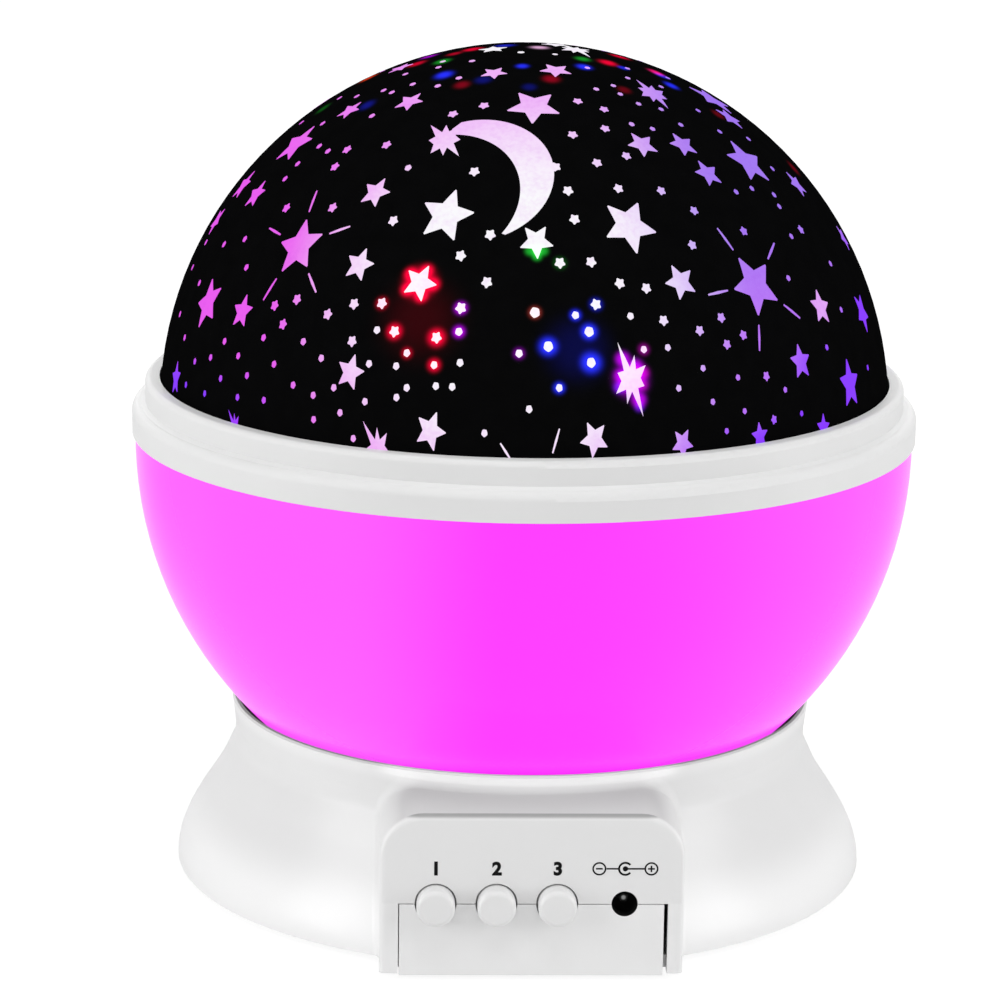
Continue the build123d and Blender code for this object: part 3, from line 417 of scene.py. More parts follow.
def base_skin(made, skin):
    """White skin with painted shade on the panel above its seam, painted light at the thin foot, and
    painted shade in the bore and along the hood's front edge.
    """
    panel = 1.0 - behind_panel(made, 0.05 * MM, 0.3 * MM)
    over_seam = made.axis(2).step(11.9 * MM, 12.3 * MM)
    foot = (1.0 - made.axis(2).step(6 * MM, 13 * MM)) * behind_panel(made, 2 * MM, 4 * MM)
    # painted shade on the panel above its seam
    skin = (panel * over_seam).mix(skin, toned(WHITE, PANEL_PAINTED_SHADE))
    # painted light on the thin foot of the skirt
    skin = foot.mix(skin, toned(WHITE, SKIRT_FOOT_PAINTED_LIGHT))
    return parting_line(made, dark_bore(made, skin))


white = moulded("white_plastic", WHITE, 0.24, shade=base_skin)
wear(white, "base_shell", "base_bottom", "battery_door")
print("the panel's face is at y =", round(PANEL_Y / MM, 2), "mm")

# %% [markdown]
# ## Painted light between the bowl and the base
# The neck of the base, and most of all the hollow behind the hood's roof, lie in the bowl's shade, and
# the bowl's own glow is kept off them. So light is painted there as a weak glow of the skin. A lamp
# hidden inside would need many samples to find its way out of so thin a gap. The hollow is also the
# dullest place of the moulding, because no polishing tool reaches into that corner of the mould.

# %% Painted light and dull hollow behind the hood
# painted light: strength of the glow in the skin where it is full
PAINTED_NECK_LIGHT = 0.24        # strength of the glow where it is full
NECK_SHARE = 0.2        # share of it all round the neck
HOLLOW_DULL = 0.5       # what the hollow adds to the roughness


def leak_over_hood(made):
    """Painted light: a glow on the neck and the top of the hood, which lie in the bowl's shade."""
    across = 1.0 - made.axis(0).size().step(19 * MM, 25 * MM)
    front = (-made.axis(1)).step(38 * MM, 42 * MM)
    low_rise = made.axis(2).step(25.2 * MM, 26.8 * MM)
    high_rise = made.axis(2).step(26.6 * MM, 27.3 * MM)
    roof = (low_rise * 0.4 + high_rise * 0.6) * across * front
    neck = made.axis(2).step(25.5 * MM, 27.5 * MM) * NECK_SHARE
    return (roof + neck).at_most(1.0).mix((0, 0, 0), (PAINTED_NECK_LIGHT,) * 3)


def hood_hollow(made):
    """1 in the hollow where the hood's roof turns up into the neck."""
    hollow = made.axis(2).step(24.8 * MM, 25.6 * MM) * (-made.axis(1)).step(30 * MM, 38 * MM)
    return hollow * (1.0 - made.axis(0).size().step(24 * MM, 30 * MM))


gloss = 0.26 + 0.05 * white.noise(18 * MM, 2.0) + HOLLOW_DULL * hood_hollow(white)
white.set(Emission_Color=leak_over_hood(white), Emission_Strength=1.0, Specular_IOR_Level=0.3,
          Roughness=gloss)
print("glow at its fullest:", PAINTED_NECK_LIGHT)

# %% [markdown]
# ## Glowing bowl
# The bowl is milky magenta plastic, lit from the inside by the lamps. Light leaves it evenly. Painted
# highlights of the side boxes make it paler towards both sides, and painted shade deepens it at its
# outline and its foot. Real light scattering through the wall would be slow and noisy, so the glow is
# written as a soft emission over a glossy skin. It hardly tints the white plastic round it on the real
# lamp, so light linking keeps the glow to the bowl itself.

# %% Bowl finish
BOWL_COLOUR = (0.04, 0.003, 0.04)
GLOW = 0.97             # red and blue part of the glow
GLOW_GREEN = 0.038      # green part of it in the middle, which makes it paler where it grows
BOWL_LEFT_PAINTED_HIGHLIGHT, BOWL_RIGHT_PAINTED_HIGHLIGHT = 0.062, 0.056
BOWL_EDGE_PAINTED_SHADE, BOWL_FOOT_PAINTED_SHADE = 0.05, 0.012


def bowl_finish():
    """Milky magenta glow, deepest in the middle, with painted highlights paler towards both sides and
    painted shade at the outline and the foot.
    """
    made = Finish("bowl_plastic")
    across = made.axis(0) / BOWL_R
    height = (made.axis(2) - bowl_low.z) / (bowl_high.z - bowl_low.z)
    cloud = made.noise(40 * MM, 1.0)
    # painted highlights: the glow is paler towards the left and the right, where the side boxes shine
    left = (-across).step(0.05, 0.48) * BOWL_LEFT_PAINTED_HIGHLIGHT
    right = across.step(0.08, 0.85) * BOWL_RIGHT_PAINTED_HIGHLIGHT
    # painted shade: the glow is deeper at the outline and at the foot
    edge = across.size().step(0.80, 1.0) * BOWL_EDGE_PAINTED_SHADE
    foot = (1.0 - height.step(0.0, 0.45)) * BOWL_FOOT_PAINTED_SHADE
    green = left + right - edge - foot + (cloud - 0.5) * 0.012 + GLOW_GREEN
    glow = made.node("ShaderNodeCombineColor", {}, {0: GLOW, 1: green, 2: GLOW})
    made.set(Base_Color=cloud.mix(BOWL_COLOUR, toned(BOWL_COLOUR, 1.1)), Emission_Color=glow,
             Emission_Strength=1.0, Specular_IOR_Level=0.15,
             Roughness=0.2 + 0.05 * cloud, Normal=made.bump(cloud, 0.05 * MM))
    return made


wear(bowl_finish(), "bowl")
lit_by_bowl = bpy.data.collections.new("lit_by_bowl")
lit_by_bowl.objects.link(nodes["bowl"])
nodes["bowl"].light_linking.receiver_collection = lit_by_bowl

# %% [markdown]
# ## Places on the ball
# Everything on the dome is placed by an azimuth and a height, as on a globe, both in degrees from
# the ball's centre. Distances from such a place are measured along the shell. A flat drawing
# wrapped round the ball would work too, but it would squeeze all that lies near the top. The
# printed film sits about a degree crooked in its ring, as such films do.

# %% Directions and turns
FILM_TURN = math.radians(-1.03)
FILM_LEAN = math.radians(0.85)
seat = Matrix.Rotation(FILM_LEAN, 3, looking @ Vector((0, 0, 1))) @ Matrix.Rotation(FILM_TURN, 3, "Z")


def dome_direction(azimuth, height):
    """Unit vector from the ball's centre; azimuth 0 faces the panel, height 90 is the top."""
    turn, lift = math.radians(azimuth), math.radians(height)
    level = Vector((math.sin(turn) * math.cos(lift), -math.cos(turn) * math.cos(lift), math.sin(lift)))
    return seat @ level


def ball_frame(azimuth, height):
    """Outward, eastward and upward unit vectors at a place on the dome."""
    turn = math.radians(azimuth)
    out = dome_direction(azimuth, height)
    east = seat @ Vector((math.cos(turn), math.sin(turn), 0))
    return out, east, out.cross(east)


def seen_turn(azimuth, height, seen):
    """Turn of a window whose tip points at this angle (0 right, 90 up) to someone in front."""
    out, east, up = ball_frame(azimuth, height)
    looks = camera.rotation_euler.to_matrix()
    right, rise = looks @ Vector((1, 0, 0)), looks @ Vector((0, 1, 0))
    flat = Matrix(((east.dot(right), up.dot(right)), (east.dot(rise), up.dot(rise))))
    way = flat.inverted() @ Vector((math.cos(math.radians(seen)), math.sin(math.radians(seen))))
    return math.degrees(math.atan2(way.y, way.x)) - 90


def on_ball(axes, x, y, radius):
    """Point at radius whose arc from the centre of the window is (x, y) along east and up."""
    out, east, up = axes
    reach = math.hypot(x, y)
    if reach < 1e-9:
        return DOME_CENTRE + out * radius
    angle = reach / DOME_R
    side = (east * x + up * y) / reach
    return DOME_CENTRE + (out * math.cos(angle) + side * math.sin(angle)) * radius


print("the front of the rim is at", [round(v, 3) for v in on_ball(ball_frame(0, 5), 0, 0, DOME_R)])

# %% [markdown]
# ## Where single lamps shine through
# Behind some windows a lamp's beam points straight at the eye. There the window burns white and the
# colour of that lamp spreads over the black print around it. Each such place is an azimuth, a
# height, a spread in mm, a colour and a strength. A hot star's glow has the star's shape: it gets
# one more spot near each tip.

# %% Coloured lamp spots
RED = (1.0, 0.0, 0.04)
FLAME = (1.0, 0.06, 0.01)
GREEN = (0.02, 0.75, 0.05)
BLUE = (0.02, 0.03, 1.0)
VIOLET = (0.55, 0.0, 0.9)
PLUM = (0.5, 0.0, 0.45)
INDIGO = (0.2, 0.01, 0.9)
PALE_RED = (0.9, 0.1, 0.08)
BLUSH = (0.9, 0.5, 0.8)
LAMP_SPOTS = [
    (-19, 30.5, 2.0, RED, 1.5), (-25, 27, 0.9, RED, 0.5), (-22, 23, 1.1, RED, 1.1),
    (-15, 22.5, 1.2, RED, 1.3), (-15, 18.5, 0.9, RED, 1.0), (-19.5, 20, 0.8, RED, 0.5),
    (-18, 25, 5.0, RED, 0.03), (-11.5, 27, 0.9, VIOLET, 0.9), (-11.5, 23.5, 0.85, VIOLET, 1.0),
    (-2, 20.5, 0.8, VIOLET, 0.35), (1, 36, 0.8, GREEN, 0.5), (5, 34, 0.9, GREEN, 0.12),
    (0.5, 26.5, 0.85, PALE_RED, 0.4), (10.5, 27.5, 0.9, BLUE, 0.5), (7, 26, 0.8, BLUE, 1.0),
    (9, 23.5, 1.1, BLUE, 1.3), (2.5, 21.5, 1.25, BLUE, 1.3), (9, 19, 1.4, BLUE, 1.3),
    (4, 15.5, 0.8, BLUE, 1.0), (7, 21, 4.0, BLUE, 0.05), (15, 16.3, 2.0, VIOLET, 1.3),
    (16, 12.3, 0.7, INDIGO, 0.6), (17.5, 20.5, 0.8, PLUM, 0.5),
    (-96, 65, 1.4, FLAME, 0.7), (-82, 73, 1.3, RED, 0.6), (-97, 75, 1.3, VIOLET, 0.6),
    (-88, 82, 1.4, RED, 0.8), (-81, 79, 1.1, RED, 0.4), (-44.5, 72, 1.3, BLUE, 1.0),
    (-66, 76, 1.2, GREEN, 0.4), (-2.5, 77, 0.9, BLUE, 0.9), (-96, 87, 1.4, BLUE, 0.5),
    (-29, 69.5, 1.1, RED, 0.2), (-21, 71.5, 1.2, BLUE, 0.15), (1, 69.5, 1.0, BLUE, 0.12),
    (-60, 61, 1.2, BLUE, 0.2), (-84, 57, 1.2, GREEN, 0.1), (38, 75.5, 1.1, BLUE, 1.0),
    (50, 78.5, 1.1, GREEN, 0.35), (62, 75.5, 1.3, RED, 0.9), (63, 73, 0.8, BLUE, 0.7),
    (94, 75, 1.4, RED, 0.7), (80.5, 69, 1.2, (1.0, 0.01, 0.2), 0.9), (78.5, 68, 1.1, BLUE, 0.7),
    (70, 65.5, 1.1, BLUE, 0.9), (12, 72, 1.2, RED, 0.25), (70, 57, 1.0, RED, 0.12),
    (41, 67, 1.0, RED, 0.12), (81, 43, 1.2, RED, 0.12), (49, 87, 1.3, BLUSH, 0.8),
]
TIP_GLOWS = [           # azimuth, height, reach in mm, seen angle, tips, spread, colour, strength
    (-19, 30.5, 2.1, 276, 5, 0.95, RED, 1.2), (15, 16.3, 3.2, 112, 2, 1.0, VIOLET, 1.0),
    (1, 37.5, 1.8, 238, 1, 0.75, GREEN, 0.5), (1, 37.5, 1.8, 304, 1, 0.75, GREEN, 0.5),
    (1, 37.5, 2.4, 272, 1, 0.7, GREEN, 0.6), (15, 16.3, 1.9, 70, 1, 1.1, VIOLET, 0.9),
    (15, 16.3, 2.1, 30, 1, 0.9, PLUM, 0.9), (15, 16.3, 1.8, 335, 1, 0.9, PLUM, 0.6),
    (15, 16.3, 1.7, 160, 1, 0.9, VIOLET, 0.6), (15, 16.3, 2.1, 215, 1, 0.85, INDIGO, 0.8),
]


def all_glows():
    """Every glow as a point on the shell, a spread in mm, a colour and a strength."""
    glows = [(on_ball(ball_frame(azimuth, height), 0, 0, DOME_R), spread, tint, power)
             for azimuth, height, spread, tint, power in LAMP_SPOTS]
    for azimuth, height, reach, seen, tips, spread, tint, power in TIP_GLOWS:
        first = 90 + seen_turn(azimuth, height, seen)
        for number in range(tips):
            way = math.radians(first + 360 * number / tips)
            point = on_ball(ball_frame(azimuth, height), reach * math.cos(way) * MM,
                            reach * math.sin(way) * MM, DOME_R)
            glows.append((point, spread, tint, power))
    return glows


def lamp_light(finish, colour, share=1.0):
    """Adds the light of every lamp spot to a colour."""
    for point, spread, tint, power in all_glows():
        reach = finish.away_from(point) * (1.0 / (spread * MM))
        glow = (-(reach ** 3.0)).exp() * (power * share)
        colour = glow.mix(colour, tint, "ADD")
    return colour


print("lamp glows:", len(all_glows()))

# %% [markdown]
# ## Black print and clear windows
# The dome is a clear shell, printed black except for stars, dots and a moon. The black is deep and
# nearly without sheen. The windows show the lit inside: white in front of the lamps, pink to the
# left, violet to the right and lilac near the top, with the fine mottle of frosted plastic. A clear
# shader with lamps behind it would be truer, but so noisy that the small windows would be lost, so
# the light is a glow.

# %% Dome finishes
PINK = (0.80, 0.075, 0.84)
LILAC = (0.83, 0.43, 0.91)
VIOLET_HIGH = (0.33, 0.16, 0.86)
VIOLET_LOW = (0.47, 0.15, 0.90)
VIOLET_DEEP = (0.22, 0.013, 1.0)
NEAR_WHITE = (0.92, 0.92, 0.94)
LIT_PLACE = (-4, 30)    # azimuth and height of the place in front of the lamps
WARM_PLACE = (56, 23)   # a place at the right that stays lilac
WARM_SPREAD = 5.0 * MM


def black_print():
    """Deep black print with lamp colour bleeding round the hot windows."""
    made = Finish("dome_black")
    mist = made.noise(3 * MM, 4.0)
    made.set(Base_Color=mist.mix((0.0018, 0.0018, 0.0019), (0.0030, 0.0030, 0.0032)),
             Emission_Color=lamp_light(made, (0, 0, 0)), Emission_Strength=1.0,
             Roughness=0.34 + 0.08 * mist, Specular_IOR_Level=0.0,
             Normal=made.bump(mist, 0.01 * MM))
    return made


def window_light():
    """Lit frosted windows, their colour a soft function of the place on the dome."""
    made = Finish("window_light")
    side = made.axis(0) / DOME_R
    height = (made.axis(2) - DOME_CENTRE.z) / DOME_R
    front = DOME_CENTRE + dome_direction(*LIT_PLACE) * DOME_R
    off_front = made.away_from(front).step(14 * MM, 39 * MM)
    violet = height.step(0.3, 0.7).mix(VIOLET_LOW, VIOLET_HIGH)
    tint = side.step(-0.75, -0.05).mix(PINK, LILAC)
    tint = side.step(0.04, 0.50).mix(tint, violet)
    far_right = side.step(0.77, 0.90) * (1.0 - height.step(0.40, 0.60))
    low_right = side.step(0.60, 0.75) * (1.0 - height.step(0.25, 0.42))
    lip_right = side.step(0.30, 0.60) * (1.0 - height.step(0.10, 0.20))
    lip_left = (-side).step(0.55, 0.85) * (1.0 - height.step(0.14, 0.28))
    deep = (far_right + low_right + lip_right + lip_left).at_most(1.0)
    tint = deep.mix(tint, VIOLET_DEEP)
    warm = made.away_from(DOME_CENTRE + dome_direction(*WARM_PLACE) * DOME_R) / WARM_SPREAD
    tint = (-(warm ** 4.0) - 0.3).exp().mix(tint, LILAC)
    tint = height.step(0.974, 0.99).mix(tint, NEAR_WHITE)
    colour = off_front.mix(NEAR_WHITE, tint)
    mottle = made.noise(0.7 * MM, 3.0) * 0.6 + made.noise(3.5 * MM, 2.0) * 0.4
    colour = mottle.step(0.35, 0.75).mix(colour, (0.92, 0.80, 0.95), "MULTIPLY")
    made.set(Base_Color=mottle.mix((0.03, 0.03, 0.03), (0.06, 0.05, 0.06)),
             Emission_Color=lamp_light(made, colour, 0.8), Emission_Strength=1.0,
             Specular_IOR_Level=0.0, Roughness=0.3 + 0.1 * mottle,
             Normal=made.bump(mottle, 0.01 * MM))
    return made


wear(black_print(), "star_dome")
window_finish = window_light()
print("window finish has", len(window_finish.tree.nodes), "nodes")

# %% [markdown]
# ## Window shapes
# Each window is a thin closed plug through the shell that follows the ball on both sides. A flat
# cut-out pressed on the ball would stand off at its tips, and a picture on the surface would blur
# when seen close, so the outline is laid on the ball in polar steps from its centre.

# %% Outlines as lists of (distance, angle)
PROUD = 0.03 * MM       # how far a plug stands out of the print on both sides


def star_outline(radius, points=5, waist=0.50, blunt=1.4):
    """Star with slightly blunt tips."""
    outline = []
    for number in range(points):
        tip = 90 + 360 * number / points
        outline += [(radius, tip - blunt), (radius, tip + blunt)]
        outline.append((radius * waist, tip + 180 / points))
    return outline


SPIKES = [(0, 1.0), (47, 0.44), (106, 0.60), (146, 0.63)]     # angle from the long spike, share


def burst_outline(radius, full):
    """Uneven eight-pointed star; its spikes repeat half way round, and full thickens its body."""
    outline = []
    for half in (0, 180):
        for (angle, share), (following, _) in zip(SPIKES, SPIKES[1:] + [(180, 1.0)]):
            outline.append((radius * (share + full * (1 - share) * 0.35), 90 + half + angle))
            outline.append((radius * (0.30 + 0.15 * full), 90 + half + (angle + following) / 2))
    return outline


def stroke_outline(length, width):
    """Thin rounded stroke along the angle 90."""
    half = width / 2
    tip = math.hypot(length / 2, half * 0.6)
    lean = math.degrees(math.atan2(half * 0.6, length / 2))
    return [(half, 0), (tip, 90 - lean), (length / 2 + half * 0.3, 90), (tip, 90 + lean),
            (half, 180), (tip, 270 - lean), (length / 2 + half * 0.3, 270), (tip, 270 + lean)]


def halved(outline):
    """The outline with a point added in the middle of each side, so that long sides follow the ball."""
    corners = [(r * math.cos(math.radians(a)), r * math.sin(math.radians(a))) for r, a in outline]
    finer = []
    for (x, y), (next_x, next_y) in zip(corners, corners[1:] + corners[:1]):
        finer += [(x, y), ((x + next_x) / 2, (y + next_y) / 2)]
    return finer


print("a star has", len(halved(star_outline(3))), "outline points")

# %% [markdown]
# ## Outlines laid on the ball
# The print is a film drawn tight over a mould, which squeezes it near the lip and stretches it half
# way up. Each outline goes through that stretch and is then laid on the shell's outside and inside,
# with a wall between the two. Large windows get rings of points inside their rim, so that they
# curve with the ball. Projecting flat shapes with a modifier would be shorter, but would give no
# inside skin.

# %% Lay an outline on the ball
def stretched(height, x, y):
    """The film is drawn tight over the mould: narrower near the lip, a little taller half way up."""
    near_lip = 1 - min(max((height - 5) / 20, 0), 1)
    pull = max(0, math.sin(math.pi * height / 75))
    return Vector((x * (1 - 0.23 * near_lip), y * (1 + 0.12 * pull)))


RINGS = (0.4, 0.75, 1.0)        # rings of points in a large window, as shares of its rim
RINGED_REACH = 1.5 * MM         # windows that reach further than this get them


def add_plug(bm, azimuth, height, outline, turn=0.0):
    """Closed plug with a star-like outline (in mm), in rings from its centre."""
    axes = ball_frame(azimuth, height)
    swing = Matrix.Rotation(math.radians(turn), 2)
    rim = [stretched(height, *(swing @ (Vector(point) * MM))) for point in halved(outline)]
    shares = RINGS if max(v.length for v in rim) > RINGED_REACH else (1.0,)
    faces = []
    for radius in (DOME_R + PROUD, DOME_R - DOME_WALL - PROUD):
        middle = bm.verts.new(on_ball(axes, 0, 0, radius))
        rings = [[bm.verts.new(on_ball(axes, v.x * share, v.y * share, radius)) for v in rim]
                 for share in shares]
        count = len(rim)
        for i in range(count):
            j = (i + 1) % count
            bm.faces.new((middle, rings[0][i], rings[0][j]))
            for inner, outer in zip(rings, rings[1:]):
                bm.faces.new((inner[i], outer[i], outer[j], inner[j]))
        faces.append(rings[-1])
    outside, inside = faces
    for i in range(len(rim)):
        j = (i + 1) % len(rim)
        bm.faces.new((outside[i], inside[i], inside[j], outside[j]))


def window_piece(name, bm):
    """Turns the plugs into one piece that moves with the dome."""
    bmesh.ops.recalc_face_normals(bm, faces=bm.faces)
    mesh = bpy.data.meshes.new(name)
    bm.to_mesh(mesh)
    bm.free()
    mesh.materials.append(window_finish.material)
    made = piece(name, mesh)
    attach(made, "dome")
    print(name, "has", len(mesh.polygons), "faces")
    return made


print("a window is", round((DOME_WALL + 2 * PROUD) / MM, 2), "mm thick")

# %% [markdown]
# ## The pattern
# A print like this is laid out by eye: large stars first, then small ones, then dots in the gaps.
# Each entry is azimuth, height, radius in mm, and the angle one tip shows from the front. The lamp
# is printed alike on both halves, so each entry is used again half a turn round, where nothing
# stands yet.

# %% Large and middle stars
STARS = [
    (-71.5, 50, 3.5, 48), (-65, 59, 2.0, 38), (-43.5, 63.5, 2.2, 41), (-18, 74, 2.0, 275),
    (17.5, 75, 2.4, 266), (2, 64, 3.9, 265), (-16.5, 41.5, 3.9, 70), (19, 39.5, 3.9, 66),
    (1, 37.5, 2.4, 274), (-19, 30.5, 2.45, 276), (-31, 32.5, 2.3, 66), (-33.5, 44.5, 2.3, 57),
    (-45.5, 34, 3.9, 79), (-80.5, 40, 2.4, 53), (-69, 40, 2.2, 58), (-82, 33, 2.1, 74),
    (-65, 22, 3.5, 84), (-53.5, 22.5, 2.3, 75), (30, 54, 2.3, 132), (42, 53, 2.2, 129),
    (43, 47, 2.2, 125), (59, 47.5, 3.8, 124), (83, 59.5, 3.6, 152), (74.5, 55.5, 2.3, 151),
    (73, 41, 2.1, 131), (81, 29.7, 1.9, 123), (41, 28, 4.1, 122), (26, 30, 2.4, 119),
    (55.5, 22.5, 2.4, 102), (71, 19, 2.8, 92), (46.5, 15.5, 2.4, 100), (59, 10, 3.5, 97),
    (50, 5, 2.0, 90), (36, 6, 1.9, 95), (22.5, 6.5, 2.1, 130), (-28.5, 16.5, 2.4, 73),
    (-15, 9, 2.7, 67), (9, 8, 2.5, 119), (-71, 9, 2.4, 85), (-63, 84.5, 2.2, 90),
    (-86.5, 70.5, 2.0, 40),
]
RAYED = [entry for entry in STARS if entry[2] > 3.6 and entry[1] < 35]
BURSTS = [(15, 16.3, 5.4, 112), (-23, 5.7, 5.1, 125), (-50, 5.5, 3.3, 118), (82, 82, 5.0, 147)]
FULL_BURSTS = [(-22.5, 55.6, 4.4, 133), (52, 65, 4.1, 133)]
STAR_SCALE = 1.05
SIDE_AZIMUTH = 80       # entries further round than this have no copy at the back
taken = []              # direction and reach in mm of every window so far
print("placed by hand:", len(STARS), "stars and", len(BURSTS) + len(FULL_BURSTS), "bursts")

# %% [markdown]
# ## Front and back
# A window at the back must not run into one that is already there, so each window leaves its
# direction and its reach in a list, and a new place is held against all of them. A grid would find
# neighbours faster, but for some hundred windows a plain list is quick enough.

# %% Copy the pattern to the back and make the stars


def free_place(azimuth, height, radius):
    """True if no earlier window is close by."""
    here = dome_direction(azimuth, height)
    return all(here.angle(there) * DOME_R >= (reach + radius + 0.5) * MM for there, reach in taken)


def both_halves(entries):
    """Every (azimuth, height, radius, turn), and its copy half a turn round where there is room."""
    front = [(azimuth, height, radius, seen_turn(azimuth, height, seen))
             for azimuth, height, radius, seen in entries]
    taken.extend((dome_direction(azimuth, height), radius) for azimuth, height, radius, turn in front)
    back = []
    for azimuth, height, radius, turn in front:
        if abs(azimuth) < SIDE_AZIMUTH and free_place(azimuth + 180, height, radius):
            back.append((azimuth + 180, height, radius, turn))
            taken.append((dome_direction(azimuth + 180, height), radius))
    return front + back


stars = bmesh.new()
for azimuth, height, radius, turn in both_halves(STARS):
    add_plug(stars, azimuth, height, star_outline(radius * STAR_SCALE), turn)
window_piece("window_stars", stars)

bursts = bmesh.new()
for entries, full in ((FULL_BURSTS, 0.6), (BURSTS, 0)):
    for azimuth, height, radius, turn in both_halves(entries):
        add_plug(bursts, azimuth, height, burst_outline(radius, full), turn)
window_piece("window_bursts", bursts)

# %% [markdown]
# ## Rays and strokes
# Two large stars have rays: short strokes that start a little outside the star, in line with its
# tips and half way between them. Each stroke is a window of its own, so its place on the ball is
# worked out first and its turn is set to point back at the star. One outline for star and rays
# would need thin bridges between them, which the real print doesn't have.

# %% Rays round two of the large stars, and two loose strokes
RAY_START, RAY_END = 1.38, 2.26      # in star radii
RAY_SWING = {-45.5: (0, -11, -2, -2, -5)}        # degrees by which single rays of a star swing aside
RAY_WIDTH = 0.4
RAY_MARGIN = 1.2        # reach kept free round the middle of a ray, in mm
STROKES = [(3.4, 7.9, 3.6, 70), (-3.9, 6.4, 3.0, -50)]
rays = bmesh.new()
for azimuth, height, radius, seen in RAYED:
    first = 90 + seen_turn(azimuth, height, seen)
    for half in (0, 180):
        for number in range(5):
            way = first + 72 * number + RAY_SWING.get(azimuth, (0,) * 5)[number]
            reach = radius * (RAY_START + RAY_END) / 2
            along = math.radians(way)
            offset = stretched(height, reach * math.cos(along), reach * math.sin(along)) * MM
            spot = on_ball(ball_frame(azimuth + half, height), *offset, DOME_R) - DOME_CENTRE
            taken.append((spot.normalized(), RAY_MARGIN))
            spot = seat.transposed() @ spot
            lift = math.degrees(math.asin(spot.z / spot.length))
            spin = math.degrees(math.atan2(spot.x, -spot.y))
            shift = (spin - azimuth - half + 180) % 360 - 180
            turn = way - 90 - shift * math.sin(math.radians(height))
            outline = stroke_outline(radius * (RAY_END - RAY_START), RAY_WIDTH)
            add_plug(rays, spin, lift, outline, turn)
for azimuth, height, length, turn in both_halves(STROKES):
    add_plug(rays, azimuth, height, stroke_outline(length, RAY_WIDTH), turn)
window_piece("window_rays", rays)

# %% [markdown]
# ## The moon
# A crescent is what is left of one disc when a second one covers it. Its two arcs meet in two tips,
# which follow from the circles' centres and radii, so only those are written down. A boolean cut of
# two solid discs would give the same outline, but no rows of points to bend round the ball.

# %% Crescent moon
MOON_PLACE = (-6, 50)
MOON_DISC = (Vector((-4.2, -1.0)), 11.8)
COVER_DISC = (Vector((-9.3, -4.3)), 12.1)
MOON_STEPS = 40
MOON_ROWS = 5
HORN_CUT = 5            # steps left off the upper horn, which ends inside a burst
TIP_CUT = 1             # steps left off the lower horn, which is blunt
MOON_MARGIN = 1.0       # reach kept free round points in the moon, in mm


def arc_points(disc, start, end, steps):
    """Points on a circle between two angles."""
    centre, radius = disc
    return [centre + radius * Vector((math.cos(start + (end - start) * i / steps),
                                      math.sin(start + (end - start) * i / steps)))
            for i in range(steps + 1)]


def crescent():
    """Outer and inner arcs of the moon, both from the lower tip to the upper one."""
    (a, ra), (b, rb) = MOON_DISC, COVER_DISC
    between = b - a
    gap = between.length
    along = (ra ** 2 - rb ** 2 + gap ** 2) / (2 * gap)
    half = math.sqrt(ra ** 2 - along ** 2)
    side = Vector((-between.y, between.x)) / gap
    lower, upper = (a + between / gap * along + side * half * s for s in (1, -1))
    if lower.y > upper.y:
        lower, upper = upper, lower
    angles = [math.atan2(*(tip - centre).yx) for centre in (a, b) for tip in (lower, upper)]
    outer = arc_points(MOON_DISC, angles[0], angles[1], MOON_STEPS)[TIP_CUT:-HORN_CUT]
    inner = arc_points(COVER_DISC, angles[2], angles[3], MOON_STEPS)[TIP_CUT:-HORN_CUT]
    outer[-1] = inner[-1] = outer[-1].lerp(inner[-1], 0.5)
    return outer, inner


print("the moon's two arcs have", len(crescent()[0]), "points each")

# %% [markdown]
# ## The moon on the ball
# The stars are fans of faces round their middle, but a fan would cross the hollow of a crescent. So the
# moon's faces run in rows from one arc to the other, once on the outside of the shell and once on the
# inside, and walls along both arcs close it. Points in the moon are kept free for the dots that follow.

# %% Lay the moon on the ball
def add_moon(bm, azimuth, height):
    """Crescent plug in rows from the outer arc to the inner one."""
    axes = ball_frame(azimuth, height)
    outer, inner = crescent()
    skins = []
    for radius in (DOME_R + PROUD, DOME_R - DOME_WALL - PROUD):
        rows = []
        for row in range(MOON_ROWS + 1):
            share = row / MOON_ROWS
            rows.append([bm.verts.new(on_ball(axes, *(o.lerp(i, share) * MM), radius))
                         for o, i in zip(outer, inner)])
        for low, high in zip(rows, rows[1:]):
            for i in range(len(outer) - 1):
                bm.faces.new((low[i], low[i + 1], high[i + 1], high[i]))
        skins.append(rows)
    for edge in (0, -1):
        top, bottom = skins[0][edge], skins[1][edge]
        for i in range(len(outer) - 1):
            bm.faces.new((top[i], top[i + 1], bottom[i + 1], bottom[i]))


moon = bmesh.new()
for azimuth in (MOON_PLACE[0], MOON_PLACE[0] + 180):
    add_moon(moon, azimuth, MOON_PLACE[1])
    for outer, inner in list(zip(*crescent()))[::3]:
        for share in (0, 0.5, 1):
            x, y = outer.lerp(inner, share) * MM
            spot = on_ball(ball_frame(azimuth, MOON_PLACE[1]), x, y, DOME_R) - DOME_CENTRE
            taken.append((spot.normalized(), MOON_MARGIN))
bmesh.ops.remove_doubles(moon, verts=moon.verts, dist=1e-7)
window_piece("window_moon", moon)

# %% [markdown]
# ## Dots
# The smallest windows are tiny stars with full bodies, which look like dots from a step away. They fill
# the gaps evenly. A random scatter would clump, so they are listed one by one like the stars.

